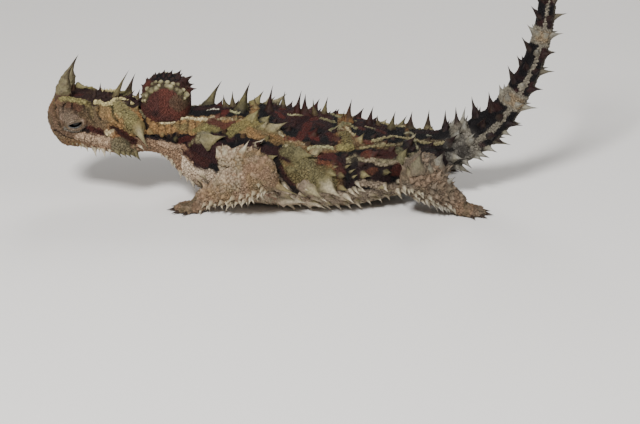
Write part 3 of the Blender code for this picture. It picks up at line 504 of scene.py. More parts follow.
# The folds and seams of the hide: lines read off the photograph's left side, as pixels, and repeated on the
# right. A row gives the half-width and the height in mm (negative where the hide is creased in), how thickly
# the fold's colour covers the hide, and that colour: mostly the hide's own, but painted shade in the dark
# gap behind the cheek plate.
HEAD_FOLDS = (
    (1.9, 0.1, 0.95, "33201b", (82, 94), (91, 95), (100, 97), (110, 98)),
    (1.0, 0.1, 0.95, "1c1211", (129, 98), (136, 98), (141, 104)),
    (0.8, 0.1, 0.95, "46211b", (63, 90), (71, 93), (80, 94)),
    (1.3, 0.2, 0.75, "553224", (76, 105), (79, 108), (81, 112)),
    (0.8, 0.1, 0.6, "553224", (70, 104), (69, 108)),
    (0.7, 0.6, 0.9, "8f8656", (57, 97), (63, 99), (70, 100), (77, 102), (84, 103)),
    (0.3, -0.45, 0.8, "2f1f17", (65, 103), (63, 107), (64, 112)),
    (0.3, -0.45, 0.8, "2f1f17", (72, 104), (72, 109)), (0.3, -0.4, 0.8, "2f1f17", (76, 111), (79, 117)),
    (0.3, -0.4, 0.8, "2f1f17", (84, 106), (85, 112)),
    (1.7, 0.5, 0.6, "988472", (64, 114), (68, 116), (71, 118)),
    (0.5, 0.2, 0.5, "5d4c3a", (58, 106), (62, 110), (70, 110), (77, 113)),
    (0.8, 0.3, 0.6, "786c3f", (88, 104), (90, 110), (92, 116)),
    (0.45, 0.3, 0.6, "8b8a80", (66, 128), (73, 131), (80, 131), (86, 127)),
    (0.35, -0.5, 0.8, "3a2b1c", (88, 110), (90, 117), (94, 124)),
    (0.35, -0.5, 0.85, "3a2b1c", (99, 108), (98, 114), (101, 120)),
    (1.8, 0.5, 0.5, "a88859", (103, 112), (109, 112), (112, 117)),
    (1.7, 0.0, 0.6, "6b5c42", (87, 114), (92, 120), (99, 125)),
    (0.2, -0.3, 0.55, "77543f", (85, 136), (86, 141)), (0.2, -0.3, 0.55, "77543f", (91, 137), (92, 142)),
    (0.2, -0.3, 0.55, "77543f", (97, 138), (98, 143)),
    (0.2, -0.3, 0.55, "77543f", (103, 139), (104, 143)),
    (2.1, 0.9, 0.85, "8f865a", (117, 107), (124, 113), (131, 121)),
    (0.35, -0.45, 0.7, "5b5434", (112, 108), (113, 116), (119, 122)),
    (0.3, -0.4, 0.6, "5b5434", (121, 108), (126, 115)),
    (0.45, 0.75, 0.98, "d8c890", (95, 104), (100, 104), (105, 107), (111, 106), (116, 102), (122, 100),
     (126, 102), (131, 105)),
    # Painted shade: the dark gap behind the cheek plate, where it stands off the neck.
    (0.6, -0.9, 0.9, "241410", (140, 107), (144, 116), (146, 124), (148, 132)),
    (0.9, -0.5, 0.95, "4a1c17", (85, 131), (90, 129), (98, 132), (106, 136)),
    (1.2, -0.5, 0.95, "4a1c17", (114, 129), (121, 134), (128, 138), (134, 142)),
    (0.6, -0.3, 0.9, "1d1210", (83, 131), (87, 132)),
    (1.2, 0.4, 0.9, "c6a98c", (79, 136), (88, 138), (97, 140), (107, 141)),
    (0.8, 0.7, 0.9, "cfbd94", (108, 133), (112, 132)), (0.8, 0.3, 0.7, "9a6e46", (114, 134), (118, 139)),
    (1.7, 0.7, 0.85, "6f6a50", (117, 144), (125, 147), (131, 150)),
    (0.2, -0.35, 0.7, "35241a", (54, 130), (62, 135), (70, 138), (80, 140)),
    (0.35, -0.5, 0.9, "1d120e", (55, 107), (56, 108)),
    (0.35, -0.3, 0.5, "57472f", (56, 99), (54, 108), (57, 118)),
    (0.4, -0.25, 0.4, "57472f", (60, 112), (58, 122), (63, 130)),
)
NECK_FOLDS = (
    (0.45, 0.45, 0.95, "d6c597", (140, 109), (145, 115), (153, 117), (161, 122), (172, 123), (177, 120),
     (184, 118), (197, 120), (211, 121)),
    (0.3, -0.2, 0.35, "7a5b38", (151, 119), (150, 131)),
    (0.3, -0.2, 0.35, "7a5b38", (158, 122), (158, 133)),
    (0.3, -0.2, 0.35, "7a5b38", (165, 124), (166, 136)),
    (0.3, -0.2, 0.35, "7a5b38", (172, 125), (171, 137)),
    (0.3, -0.2, 0.35, "7a5b38", (180, 121), (178, 136)),
    (0.3, -0.2, 0.35, "7a5b38", (188, 120), (187, 133)),
    (0.3, -0.2, 0.35, "7a5b38", (195, 122), (196, 131)),
    (0.6, -0.3, 0.95, "21130f", (160, 137), (168, 139), (175, 143)),
    (0.9, -0.2, 0.9, "4a211b", (178, 141), (190, 138), (198, 140)),
    (0.7, 0.3, 0.85, "b3967c", (160, 142), (172, 146), (180, 147)),
    (0.5, 0.3, 0.7, "9b7a60", (184, 146), (192, 156)),
    (1.0, 0.0, 0.9, "42201b", (188, 152), (196, 158), (206, 164)),
)
BACK_FOLDS = (
    (0.22, 0.2, 1.0, "ded7bf", (207, 109), (213, 110), (219, 109)),
    (1.0, 0.1, 0.85, "5e261f", (199, 103), (201, 112)), (1.1, 0.1, 0.9, "5e261f", (219, 117), (226, 112)),
    (1.1, 0.1, 0.9, "562722", (212, 122), (224, 126), (233, 124)),
    (0.35, 0.3, 0.9, "b3ae82", (230, 112), (237, 115), (246, 113)),
    (0.9, 0.3, 0.7, "857e4c", (196, 131), (205, 128), (216, 131)),
    (1.7, 0.5, 0.8, "938b69", (200, 138), (207, 141)),
    (1.4, 0.3, 0.8, "877e4d", (231, 132), (240, 126), (250, 122), (262, 128)),
    (1.0, 0.15, 0.7, "7d6440", (266, 136), (275, 142), (285, 141)),
    (1.0, 0.1, 0.5, "6f6348", (257, 130), (266, 134)), (0.7, 0.15, 0.9, "6e382a", (286, 139), (294, 140)),
    (0.8, 0.0, 0.9, "58261f", (278, 113), (282, 117)),
    (0.28, 0.2, 0.95, "b9b287", (288, 115), (292, 113), (297, 116), (304, 117)),
    (1.0, 0.0, 0.85, "54241d", (309, 124), (303, 133), (300, 138)),
    (1.0, 0.0, 0.85, "5a241d", (313, 137), (316, 141)),
    (1.2, 0.0, 0.85, "4c211c", (331, 136), (335, 141)), (0.8, 0.0, 0.9, "58281f", (312, 120), (316, 117)),
    (0.5, 0.25, 0.9, "98916a", (331, 131), (338, 129), (343, 122)),
    (0.5, 0.3, 0.85, "8f8862", (321, 119), (328, 121), (334, 123)),
    (0.3, 0.3, 0.9, "cbb98a", (345, 127), (348, 131), (353, 136)),
    (0.4, 0.25, 0.9, "98916a", (346, 125), (350, 123), (355, 122)),
    (0.6, 0.1, 0.9, "6a3224", (357, 138), (364, 142), (371, 143)),
    (0.8, 0.0, 0.9, "58281f", (359, 128), (362, 124)), (0.8, 0.0, 0.9, "58281f", (378, 131), (383, 127)),
    (0.25, 0.2, 0.9, "a9a07c", (366, 127), (370, 127), (374, 127)),
    (0.32, 0.35, 0.9, "b8ab7e", (372, 142), (380, 140), (388, 138), (394, 137), (405, 139), (414, 140),
     (425, 144), (433, 145), (442, 144), (448, 141)),
    (0.28, 0.25, 0.8, "a89c70", (360, 149), (370, 147), (383, 146), (395, 146)),
    (0.25, 0.2, 0.9, "b3ac88", (405, 134), (411, 133), (415, 130)),
    (0.25, 0.2, 0.9, "a3a18a", (427, 136), (430, 132)), (0.8, 0.0, 0.9, "4c211c", (419, 131), (423, 127)),
    (0.8, 0.0, 0.9, "4c211c", (434, 137), (438, 131)),
)
FLANK_FOLDS = (
    (1.6, 0.5, 0.8, "7d7449", (345, 136), (346, 146)),
    (0.7, 0.35, 0.9, "a2965f", (338, 148), (345, 149), (352, 148)),
    (0.45, 0.35, 0.9, "aca67b", (309, 149), (318, 147), (326, 147), (333, 149)),
    (0.7, -0.15, 0.85, "1c1210", (310, 143), (320, 144), (335, 144)),
    (1.0, 0.0, 0.85, "54241f", (320, 156), (332, 156)), (0.7, 0.1, 0.9, "7c4a34", (316, 162), (328, 163)),
    (2.2, 0.8, 0.85, "7b7350", (290, 152), (300, 157), (308, 163)),
    (2.4, 0.8, 0.85, "7e7551", (300, 168), (312, 174), (322, 180)),
    (1.2, -0.3, 0.85, "1d1413", (355, 161), (350, 170), (355, 178)),
    (1.3, 0.0, 0.85, "4b1f1b", (338, 165), (342, 172)),
    (1.3, -0.5, 0.95, "170e10", (275, 160), (278, 169), (283, 178), (290, 187), (296, 192)),
    (0.8, -0.1, 0.8, "4b2a24", (281, 168), (285, 177), (291, 184)),
    (0.3, 0.2, 0.7, "a08f7a", (277, 174), (283, 183), (291, 192)),
    (0.5, -0.4, 0.6, "4b3329", (262, 189), (272, 190), (283, 195), (296, 199)),
    (0.5, -0.3, 0.5, "4b3329", (303, 194), (312, 199), (322, 203)),
    (0.7, 0.2, 0.6, "9a6a55", (268, 194), (280, 198), (292, 201)),
    (0.5, 0.35, 0.9, "b1a184", (365, 161), (372, 160), (377, 164), (385, 165), (393, 163), (400, 163),
     (408, 161)),
    (1.0, 0.15, 0.9, "6a3424", (364, 155), (371, 154)), (1.5, 0.0, 0.9, "4b211b", (379, 155), (393, 154)),
    (1.0, 0.15, 0.85, "6e4330", (366, 173), (375, 170)),
    (1.4, 0.0, 0.9, "5e2d22", (394, 172), (403, 172)), (0.7, 0.0, 0.9, "1d1210", (380, 171), (389, 172)),
    (0.5, -0.2, 0.9, "1a100e", (410, 152), (425, 150), (440, 150), (452, 150)),
    (1.1, 0.5, 0.9, "b7a38b", (362, 183), (375, 184), (388, 187), (400, 190)),
    (1.0, 0.2, 0.8, "7f7b58", (398, 150), (402, 158)),
)


def seen(pixel):
    """Where the line of sight through a pixel first meets the hide."""
    place = skin_tree.ray_cast(Vector(CAMERA_AT), Vector(sight(pixel)))[0]
    return None if place is None else np.array(place)


def flat_place(where):
    """Millimetres along the trunk, and round it from the middle of the back, alike on both sides."""
    size = trunk.sections(np.clip(where["s"], 0, trunk.length))[4].mean(axis=1)
    return np.stack([where["s"], np.radians(np.abs(where["turn"])) * size], axis=-1)


def distance_to(spots, line, limit):
    """Distance from each place to a line of straight lengths, worked out only within a limit of its ends."""
    far = np.full(len(spots), 9.0 * limit)
    inside = (spots > line.min(axis=0) - limit) & (spots < line.max(axis=0) + limit)
    near = np.flatnonzero(inside.all(axis=1))
    for a, b in zip(line[:-1], line[1:]):
        along = np.clip(((spots[near] - a) @ (b - a)) / ((b - a) @ (b - a) + 1e-9), 0, 1)
        away = np.linalg.norm(spots[near] - a - along[:, None] * (b - a), axis=1)
        far[near] = np.minimum(far[near], away)
    return far


skin_tree = BVHTree.FromPolygons(skin_points.tolist(), skin_faces.tolist())
fold_lines = []
for wide, tall, cover, code, *line in HEAD_FOLDS + NECK_FOLDS + BACK_FOLDS + FLANK_FOLDS:
    spots = [spot for spot in map(seen, line) if spot is not None]
    if len(spots) > 1:
        s, turn, _ = trunk.nearest(np.array(spots))
        fold_lines.append((wide, tall, cover, code, flat_place({"s": s, "turn": turn})))

skin_map = body_map(skin_points)
spots = flat_place(skin_map)
raised = sum(
    tall * bell(distance_to(spots, line, 3 * wide), 0, wide) for wide, tall, _, _, line in fold_lines
)
skin_points += skin_normals * (raised * (skin_map["kind"] == BODY))[:, None]

# The markings: blotches of red-brown with black-brown rims over the back, a wavy tan stripe with a cream
# upper edge along each flank from the temple to the hip, a pale belly, grey hindquarters and a banded tail.
# The stripe's rows give x in mm and the angles round the body of its upper and lower edge, the blotches'
# rows x and how dark the back is there, and the tail's where a pale band lies along it and its half-width.
BLACK_BROWN, RED_BROWN, RUST = "0f0b0e", "361c1c", "552a22"
TAN, ORANGE_TAN, OLIVE, CREAM = "a07c50", "a9743f", "77704a", "c6b891"
PALE_BELLY, PINK_TAN, GREY_TAN, SNOUT_TAN = "dcc6ac", "a38469", "6f6759", "775f4c"
STRIPE = (
    (-66, 62, 150), (-58, 48, 120), (-54, 40, 96), (-51, 36, 98), (-49, 26, 100), (-46, 16, 104),
    (-43, 22, 104), (-41, 24, 95), (-38, 36, 88), (-36, 46, 84), (-32, 38, 74), (-29, 30, 68),
    (-22, 26, 50), (-15, 24, 48), (-8, 30, 50), (-4, 42, 54), (1, 50, 58), (8, 50, 56), (9.5, 16, 54),
    (13, 14, 52), (15, 34, 46), (20, 36, 44), (26, 32, 38), (30, 26, 32), (36, 38, 46), (42, 52, 62),
    (48, 62, 80),
)
BLOTCHES = (
    (-66, 0), (-56, 0), (-50, 1), (-46, 1), (-40, 1), (-34, 1), (-27, 0.9), (-21, 1), (-14.5, 0.8),
    (-12, 0.3), (-8, 0.9), (4, 1), (9, 0.8), (10.5, 0.1), (12.5, 0.1), (14, 0.9), (22, 1), (26, 0.75),
    (28, 0.3), (30, 0.9), (38, 1), (41, 0.6),
)
STRIPE_X, STRIPE_TOP, STRIPE_LOW = np.array(STRIPE).T
BLOTCH_X, BLOTCH_IN = np.array(BLOTCHES).T
MIDDLE_STRIP = 2.0
SECOND_X = (10, 14, 17, 22, 27, 31)
SECOND_TURN = (66, 62, 60, 64, 60, 52)
TAIL_BANDS = ((110, 3.2), (127, 2.6), (145, 2.6), (163, 2.4), (181, 2.4))
DULL_X, DULL_SHARES = (-20, 0, 15, 40, 60), (1.0, 0.82, 0.7, 0.52, 0.5)
RIM_X, RIM_UP = HUMP_SIZE[0], HUMP_SIZE[2]


def markings(points, where):
    """Colour of the hide at each point, laid on from the ground up, all worked out from body places."""
    x = points[:, 0]
    turn = np.abs(where["turn"])
    kind = where["kind"]
    s = where["s"]
    wave = mottle(points, 5.0, 3) - 0.5
    fine = mottle(points + 40, 1.3, 2) - 0.5
    patch = mottle(points + 90, 3.2, 2)
    turn = turn + 16 * wave + 8 * fine
    top, low = np.interp(x, STRIPE_X, STRIPE_TOP), np.interp(x, STRIPE_X, STRIPE_LOW)
    top = top + 11 * (where["turn"] < 0)

    # The back and the stripe's cream upper edge.
    inside = np.interp(x, BLOTCH_X, BLOTCH_IN) * (1 + 0.5 * wave)
    dark = ease(top - turn, 0, 5) * ease(inside, 0.35, 0.5)
    depth = np.minimum(top - turn, 60) / 30 + (inside - 0.8) * 2 + 1.4 * (patch - 0.5)
    edge = bell(turn - top, 1.0, 1.8) * ease(x, -55, -50) * ease(patch + 0.6 * fine, 0.3, 0.5)
    colours = lay(
        plain(points, TAN),
        (ease(patch, 0.45, 0.7) * 0.75, OLIVE),
        (ease(mottle(points + 7, 4.0, 1), 0.55, 0.8) * 0.6, ORANGE_TAN),
        (dark, BLACK_BROWN),
        (dark * ease(depth, 0.75, 1.15) * 0.9, RED_BROWN),
        (dark * ease(depth + fine, 1.5, 1.9) * 0.5, RUST),
        (np.clip(edge * 1.1, 0, 1) * (x < 46) * 0.85, CREAM),
    )

    # The flank below the stripe, with its second cream line, the throat and the belly.
    lateral = ease(turn - low, -1.5, 1.5) * (x > -56)
    flank = ease(turn, 68, 74) * ease(108 - turn, 0, 6) * ease(x, -9, -5) * ease(12 - x, 0, 3)
    second = bell(turn, np.interp(x, SECOND_X, SECOND_TURN), 4.0) * (x > 12) * (x < 31)
    belly = ease(turn, 104, 112) * (x > -30) * (x < 40)
    colours = lay(
        colours,
        (lateral * ease(125 - turn, 0, 8), BLACK_BROWN),
        (lateral * ease(turn - low, 3, 7) * ease(118 - turn, 0, 7) * ease(patch, 0.3, 0.5), RED_BROWN),
        (np.clip(flank, 0, 1), TAN),
        (flank * ease(patch, 0.4, 0.6) * 0.8, OLIVE),
        (np.clip(second * 1.2, 0, 1), CREAM),
        (lateral * (x < -27) * ease(turn, 98, 104), PINK_TAN),
        (belly, PALE_BELLY),
        (belly * ease(patch, 0.55, 0.7) * 0.5, PINK_TAN),
    )

    # The head: a dark crown between pale brows, and a brown face. Hindquarters are duller and greyer.
    crown = ease(-48 - x, 0, 2) * ease(x + 60.5, 0, 1.5) * ease(42 - turn, 0, 6)
    head = ease(-46 - x, 0, 5) * (1 - crown)
    duller = np.interp(x, DULL_X, DULL_SHARES)
    colours = lay(
        colours,
        (crown * 0.92, "33201b"),
        (crown * ease(patch, 0.5, 0.65) * 0.7, RED_BROWN),
        (head * ease(turn, 20, 50) * ease(128 - turn, 0, 12) * 0.85, SNOUT_TAN),
        (head * ease(-55 - x, 0, 4) * 0.6, SNOUT_TAN),
        (head * ease(patch, 0.5, 0.7) * ease(110 - turn, 0, 20) * 0.6, "665c42"),
        (0.4 * ease(x, -16, 10) * ease(turn - top, 0, 4) * ease(low - turn, 0, 4), "6b5d4c"),
    ) * duller[:, None]

    # The tail: dark, with a pale line along each side and pale bands.
    knot = sum(bell(s, at, wide) for at, wide in TAIL_BANDS)
    line = ease(bell(turn, 90, 14), 0.35, 0.6) * 0.95
    shade = lay(
        plain(points, BLACK_BROWN),
        (ease(patch, 0.55, 0.7) * 0.8, "3a1f1c"),
        (np.clip(ease(knot + 0.4 * wave, 0.4, 0.55) + line, 0, 1), "8c8474"),
        (ease(knot, 0.6, 0.9) * ease(60 - np.abs(turn - 90), 0, 30) * ease(s, 118, 124) * 0.5, "96784f"),
        (ease(115 - s, 0, 6) * ease(turn, 30, 50) * 0.8, "807b72"),
        (ease(118 - s, 0, 6) * ease(mottle(points + 55, 1.8, 2), 0.52, 0.64) * 0.6, "2a2322"),
        (ease(turn, 130, 145) * 0.6, GREY_TAN),
    )
    blend = (ease(s, 101, 106) * ((kind == BODY) & (s > 104)))[:, None]
    colours = colours * (1 - blend) + shade * blend

    # The limbs: pinkish tan with olive and pale mottling, greyer behind.
    limb = lay(
        plain(points, "977b62"),
        (ease(patch, 0.4, 0.62) * 0.7, "927a58"),
        (ease(mottle(points + 21, 2.2, 2), 0.5, 0.65) * 0.6, "776b50"),
        (ease(mottle(points + 31, 1.7, 2), 0.55, 0.68) * 0.6, "b59c82"),
    )
    hind = lay(limb, (0.35 + 0.5 * ease(patch, 0.3, 0.7), "7f7263"))
    colours = np.where(((kind == FORE) | (kind == FOOT))[:, None], limb, colours)
    colours = np.where((kind == HIND)[:, None], hind, colours)
    light = np.select([kind == BODY, kind == FOOT], [1.0, 0.78], 0.5 + 0.5 * duller)
    colours = colours * light[:, None]

    # The folds' colours, their own and the painted shade of the gap behind the cheek plate, on both sides
    # but once along the middle of the back.
    spots = flat_place(where)
    shown = (kind == BODY) & ((where["turn"] > 0) | (spots[:, 1] > MIDDLE_STRIP))
    for wide, _, cover, code, line in fold_lines:
        far = distance_to(spots, line, 2.2 * wide)
        weight = ease(1.25 - far / wide + min(1.4 * wide, 1.1) * fine, 0, 0.5) * cover * shown
        colours = lay(colours, (np.clip(weight, 0, 1), code))
    faded = np.where(kind == BODY, 1 - 0.36 * ease(x, -5, 28) * ease(112 - s, 0, 6), 1.0)
    colours = colours * faded[:, None]

    # The hump: red-brown, with an olive rim under its crest and a paler fold behind.
    rim = np.hypot((x - HUMP_CENTRE[0]) / RIM_X, (points[:, 2] - HUMP_CENTRE[2]) / RIM_UP)
    fold = np.hypot(x + 30.6, points[:, 2] - 26.9)
    hump = lay(
        plain(points, "54302a"),
        (ease(patch, 0.5, 0.7) * 0.6, BLACK_BROWN),
        (ease(mottle(points + 33, 3.5, 1), 0.5, 0.75) * 0.5, "6e3a2c"),
        (ease(rim, 0.7, 0.78) * ease(1.02 - rim, 0, 0.1) * ease(points[:, 2], 25, 28) * 0.9, "4a4330"),
        (ease(2.6 + fine - fold, 0, 0.6) * 0.7, "5a4a38"),
        (ease(points[:, 2], 31.2, 32.0), BLACK_BROWN),
    )
    return np.where((kind == HUMP)[:, None], hump, colours)


def fill(name, points, faces, finish, slot, replaced=(), colours=None, bake=None):
    """A named object in metres, smooth-shaded, with material, colours and unwrap, told to the frame."""
    piece, mesh = put(name, points * MM, faces)
    mesh.shade_smooth()
    if colours is not None:
        layer = mesh.color_attributes.new("marking", "FLOAT_COLOR", "POINT")
        layer.data.foreach_set("color", np.insert(colours, 3, 1.0, axis=1).ravel())
    if bake is not None:
        corners = np.empty(len(mesh.loops), int)
        mesh.loops.foreach_get("vertex_index", corners)
        mesh.uv_layers.new(name="OFBake").data.foreach_set("uv", bake[corners].ravel())
    mesh.materials.append(finish)
    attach(piece, "root")
    if replaced:
        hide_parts(*replaced)
    return piece


def add(tree, kind, inputs=None, **settings):
    """Adds a node, sets its properties, and links or sets its inputs."""
    node = tree.nodes.new("ShaderNode" + kind)
    for key, value in settings.items():
        setattr(node, key, value)
    for key, value in (inputs or {}).items():
        if isinstance(value, bpy.types.NodeSocket):
            tree.links.new(value, node.inputs[key])
        else:
            node.inputs[key].default_value = value
    return node


def new_finish(name, roughness, specular):
    """A material with its node tree and shader, its roughness and sheen set."""
    finish = bpy.data.materials.new(name)
    finish.use_nodes = True
    shader = finish.node_tree.nodes["Principled BSDF"]
    shader.inputs["Roughness"].default_value = roughness
    shader.inputs["Specular IOR Level"].default_value = specular
    return finish, finish.node_tree, shader


def marked(tree, shader, factor, height, depth):
    """Links the shader's colour to the mesh's marking times a factor, and its relief to a height, whose
    depth is in metres."""
    marking = add(tree, "VertexColor", layer_name="marking").outputs["Color"]
    tint = add(tree, "VectorMath", {0: marking, 3: factor}, operation="SCALE")
    bump = add(tree, "Bump", {"Height": height, "Strength": 0.9, "Distance": depth})
    tree.links.new(tint.outputs[0], shader.inputs["Base Color"])
    tree.links.new(bump.outputs[0], shader.inputs["Normal"])


# Dry scaly hide: horny scales too small to cut one by one, about half a millimetre across, over leathery
# skin. The eye sees a dull, grainy surface; its colour is darkened between the grains as painted shade in
# the creases.
hide, tree, shader = new_finish("dry_scaly_hide", 0.78, 0.18)
coords = add(tree, "TexCoord").outputs["Object"]
grain = add(tree, "TexVoronoi", {"Vector": coords, "Scale": 1900.0, "Randomness": 0.9}, feature="F1")
blur = add(tree, "TexNoise", {"Vector": coords, "Scale": 420.0, "Detail": 4.0, "Roughness": 0.6})
# Painted shade: the colour is darkened towards each grain's edge, in the creases between the grains.
shade = add(tree, "MapRange", {"Value": grain.outputs["Distance"], "From Min": 0.1, "From Max": 0.75,
                               "To Min": 0.68, "To Max": 0.3})
vary = add(tree, "MapRange", {"Value": blur.outputs["Fac"], "From Min": 0.3, "From Max": 0.7,
                              "To Min": 0.72, "To Max": 1.25})
both = add(tree, "Math", {0: shade.outputs[0], 1: vary.outputs[0]}, operation="MULTIPLY")
height = add(tree, "Math", {0: grain.outputs["Distance"], 1: -1.0}, operation="MULTIPLY")
marked(tree, shader, both.outputs[0], height.outputs[0], 0.00022)

# The eyes: dark, glossy balls 4 mm across, sunk in the sides of the head behind heavy, half-closed lids.
EYE_PLACE = (-56.8, 22.2)
EYE_RADIUS = 2.0
EYE_PROUD = 1.15
LID_RADIUS = 2.6
LID_REACH = 2.45
LID_OVAL = 1.12
LID_SPOKES = 88
LID_BEADS = 26
SLIT_TILT = math.radians(14.0)
SLIT_LONG, SLIT_UPPER, SLIT_LOWER = 1.72, 0.42, 0.78
SCALE_RINGS, SCALE_SPOKES = 6, 3
SOCKET_EDGE = 1.75
SOCKET_FLOOR = 1.2


def hit(origin, way):
    """Where a ray from inside leaves the skin."""
    return np.array(skin_tree.ray_cast(Vector(origin), Vector(way))[0])


skin_tree = BVHTree.FromPolygons(skin_points.tolist(), skin_faces.tolist())
eyes = {}
for label, side in (("left", -1), ("right", 1)):
    place = hit((EYE_PLACE[0], 0, EYE_PLACE[1]), (0, side, 0))
    eyes[label] = (np.array((EYE_PLACE[0], place[1] - side * EYE_PROUD, EYE_PLACE[1])), side)


def eye_frame(side):
    """Directions out of the eye, along the slit to the rear and up across it."""
    along = np.array((math.cos(SLIT_TILT), 0.0, math.sin(SLIT_TILT)))
    return np.array((0.0, side, 0.0)), along, np.array((-math.sin(SLIT_TILT), 0.0, math.cos(SLIT_TILT)))


def lid_height(along, up):
    """Over the plane of the slit: a sphere just outside the eye, and a baggy dome above and before it."""
    ball = np.sqrt(np.maximum(LID_RADIUS**2 - (along / LID_OVAL) ** 2 - up**2, 0.0))
    return ball + np.exp(-(((along + 0.9) / 2.1) ** 2) - (((up - 1.7) / 1.5) ** 2))


def lid_grid(centre, side, rings=30):
    """From the slit's almond edge to an oval: the lids' height, with a rolled, beaded rim and folds."""
    out, along, up = eye_frame(side)
    w, turn = round_grid(np.linspace(-0.12, 1, rings), LID_SPOKES)
    c, q = np.cos(turn), np.sin(turn)
    high = np.where(q > 0, SLIT_UPPER, SLIT_LOWER) * q * (1 - 0.25 * c**2)
    slit = np.stack([SLIT_LONG * c, high], axis=-1)
    wide = LID_REACH * np.stack([c * LID_OVAL, q], axis=-1)
    flat = slit + (wide - slit) * np.clip(w, 0, 1)[:, None]
    tall = lid_height(flat[:, 0], flat[:, 1])
    roll = 0.2 * bell(w, 0.1, 0.08) - 0.6 * ease(-w, -0.04, 0.12)
    fold = 0.09 * np.sin(w * 24 + 1.5 * c) * ease(w, 0.2, 0.35) * ease(1 - w, 0, 0.2)
    beads = 0.07 * np.cos(turn * LID_BEADS) * bell(w, 0.12, 0.07)
    points = centre + out * (tall + roll + fold + beads)[:, None] + along * flat[:, :1] + up * flat[:, 1:]
    faces = sheet(rings, LID_SPOKES)
    return points, faces if side > 0 else faces[:, ::-1], w


def eyeball(centre, rings=24, sides=36):
    """A sphere round a centre."""
    points, faces = closed_grid(centre + globe(rings, sides, 0.01) * EYE_RADIUS, rings, sides)
    return points, faces[:, ::-1]


# Wet cornea: a clear, glossy film over a nearly black iris, with a faint brown cloud in it.
wet_eye, tree, shader = new_finish("wet_cornea", 0.16, 0.35)
coords = add(tree, "TexCoord").outputs["Object"]
cloud = add(tree, "TexNoise", {"Vector": coords, "Scale": 900.0, "Detail": 2.0})
inks = {"Factor": cloud.outputs["Fac"], "A": (*paint("060404"), 1), "B": (*paint("150d09"), 1)}
iris = add(tree, "Mix", inks, data_type="RGBA")
tree.links.new(iris.outputs["Result"], shader.inputs["Base Color"])

lid_scales = []
relief_shade_damping = np.zeros(len(skin_points))
for label, (centre, side) in eyes.items():
    fill(f"{label}_eyeball", *eyeball(centre), wet_eye, "eye", (f"{label}_eye",))
    points, faces, w = lid_grid(centre, side)
    colours = lay(
        plain(points, "95816d"),
        (ease(mottle(points, 1.4), 0.42, 0.62) * 0.8, "75644e"),
        (ease(mottle(points + 5, 0.6), 0.5, 0.62) * 0.35, "a3917e"),
        (ease(0.16 - w, 0, 0.1) * ease(centre[2] - points[:, 2], -0.2, 0.6) * 0.8, "7f868a"),
        (ease(0.05 - w, 0, 0.1) * 0.9, "241a16"),
    )
    ground = markings(points, body_map(points))
    blend = ease(w + 0.35 * (mottle(points + 3, 1.5) - 0.5), 0.25, 0.85)
    colours = colours + (ground - colours) * blend[:, None]
    fill(f"{label}_lids", points, faces, hide, "skin", (), colours)
    ring, spoke = np.divmod(np.arange(len(w)), LID_SPOKES)
    some = (w > 0.2) & (ring % SCALE_RINGS == 0) & ((spoke + ring // SCALE_RINGS) % SCALE_SPOKES == 0)
    lid_scales.append((points[some], normals_of(points, faces)[some], colours[some]))

    # The hide round the eye is drawn up to the lids' outer edge and sunk under them.
    out, along, up = eye_frame(side)
    away = skin_points - centre
    ahead, rise, proud = away @ along, away @ up, away @ out
    r = np.hypot(ahead / LID_OVAL, rise) / LID_REACH
    near = (r < SOCKET_EDGE) & (proud > 0)
    # The painted shade and highlight of the hide's relief are damped round the eye.
    relief_shade_damping = np.maximum(relief_shade_damping, ease(2.1 - r, 0, 0.4) * (proud > 0))
    inner = lid_height(ahead, rise) - 0.15 * ease(1.0 - r, 0, 0.2)
    level = np.where(r < 1, inner, lid_height(ahead / r, rise / r))
    move = np.where(near, (level - proud) * ease(SOCKET_EDGE - r, 0.0, 0.75), 0.0)
    sunk = np.minimum(level - proud, EYE_RADIUS - SOCKET_FLOOR - proud)
    skin_points += out * np.where(near & (r < 0.75), sunk, move)[:, None]

# The thorns: horny cones over soft, swollen bases, in rows along the body and in rings round the tail.
# Each is hard keratin with a few blunt ribs, broad and low at its foot and slender above.


def rearward(ways):
    """At right angles to each way, the direction nearest to the rear."""
    return unit(np.array((1.0, 0, 0)) - ways * ways[:, :1])


def thorns(roots, normals, ways, lengths, radii, sides=5, rings=2, slim=1.0, hook=0.2, ribs=0, rough=0.0):
    """Cones: at a share t of the length the middle is root + way·L·t + rear·hook·L·t², and the radius is
    R·(0.4·(1 - t) + 0.6·(1 - t)^slim), with ribs and lumps that fade to the tip. Gives points, faces, and
    the number of its cone and its t for each point."""
    count = len(roots)
    t = np.linspace(-0.12, 0.92, rings)
    across = unit(np.cross(ways, normals + np.array((0.31, 0.17, 0.05))))
    level = np.cross(across, ways)
    rear = rearward(ways)
    turn = 2 * math.pi * np.arange(sides) / sides
    left = np.clip(1 - t, 0, 1)
    radius = radii[:, None] * (0.4 * left + 0.6 * left**slim)
    bent = (hook * np.clip(t, 0, 1) ** 2)[None, :, None]
    along = ways[:, None] * t[None, :, None] + rear[:, None] * bent
    middle = roots[:, None] + along * lengths[:, None, None]
    rib = 1 + 0.1 * np.cos(turn * ribs)[None, None] * left[None, :, None]
    c, q = (v[None, None, :, None] for v in (np.cos(turn), np.sin(turn)))
    ring = c * across[:, None, None] + q * level[:, None, None]
    points = middle[:, :, None] + ring * (radius[:, :, None] * rib)[..., None]
    if rough:
        lump = mottle(points.reshape(-1, 3), 0.75, 2).reshape(points.shape[:3]) - 0.5
        lump = lump * 2 * rough * radius[:, :, None] * ease(left, 0.1, 0.6)[None, :, None]
        points = points + ring * lump[..., None]
    tips = roots + (ways + rear * hook) * lengths[:, None]
    block = rings * sides + 1
    points = np.concatenate([points.reshape(count, -1, 3), tips[:, None]], axis=1)
    last = (rings - 1) * sides
    step = np.arange(sides)
    cap = np.stack([last + step, last + (step + 1) % sides, np.full(sides, last + sides)], axis=-1)
    faces = np.concatenate([sheet(rings, sides), cap])
    faces = (faces[None] + block * np.arange(count)[:, None, None]).reshape(-1, 3)
    share = np.concatenate([np.repeat(t, sides), [1.0]])
    return points.reshape(-1, 3), faces, np.repeat(np.arange(count), block), np.tile(share, count)


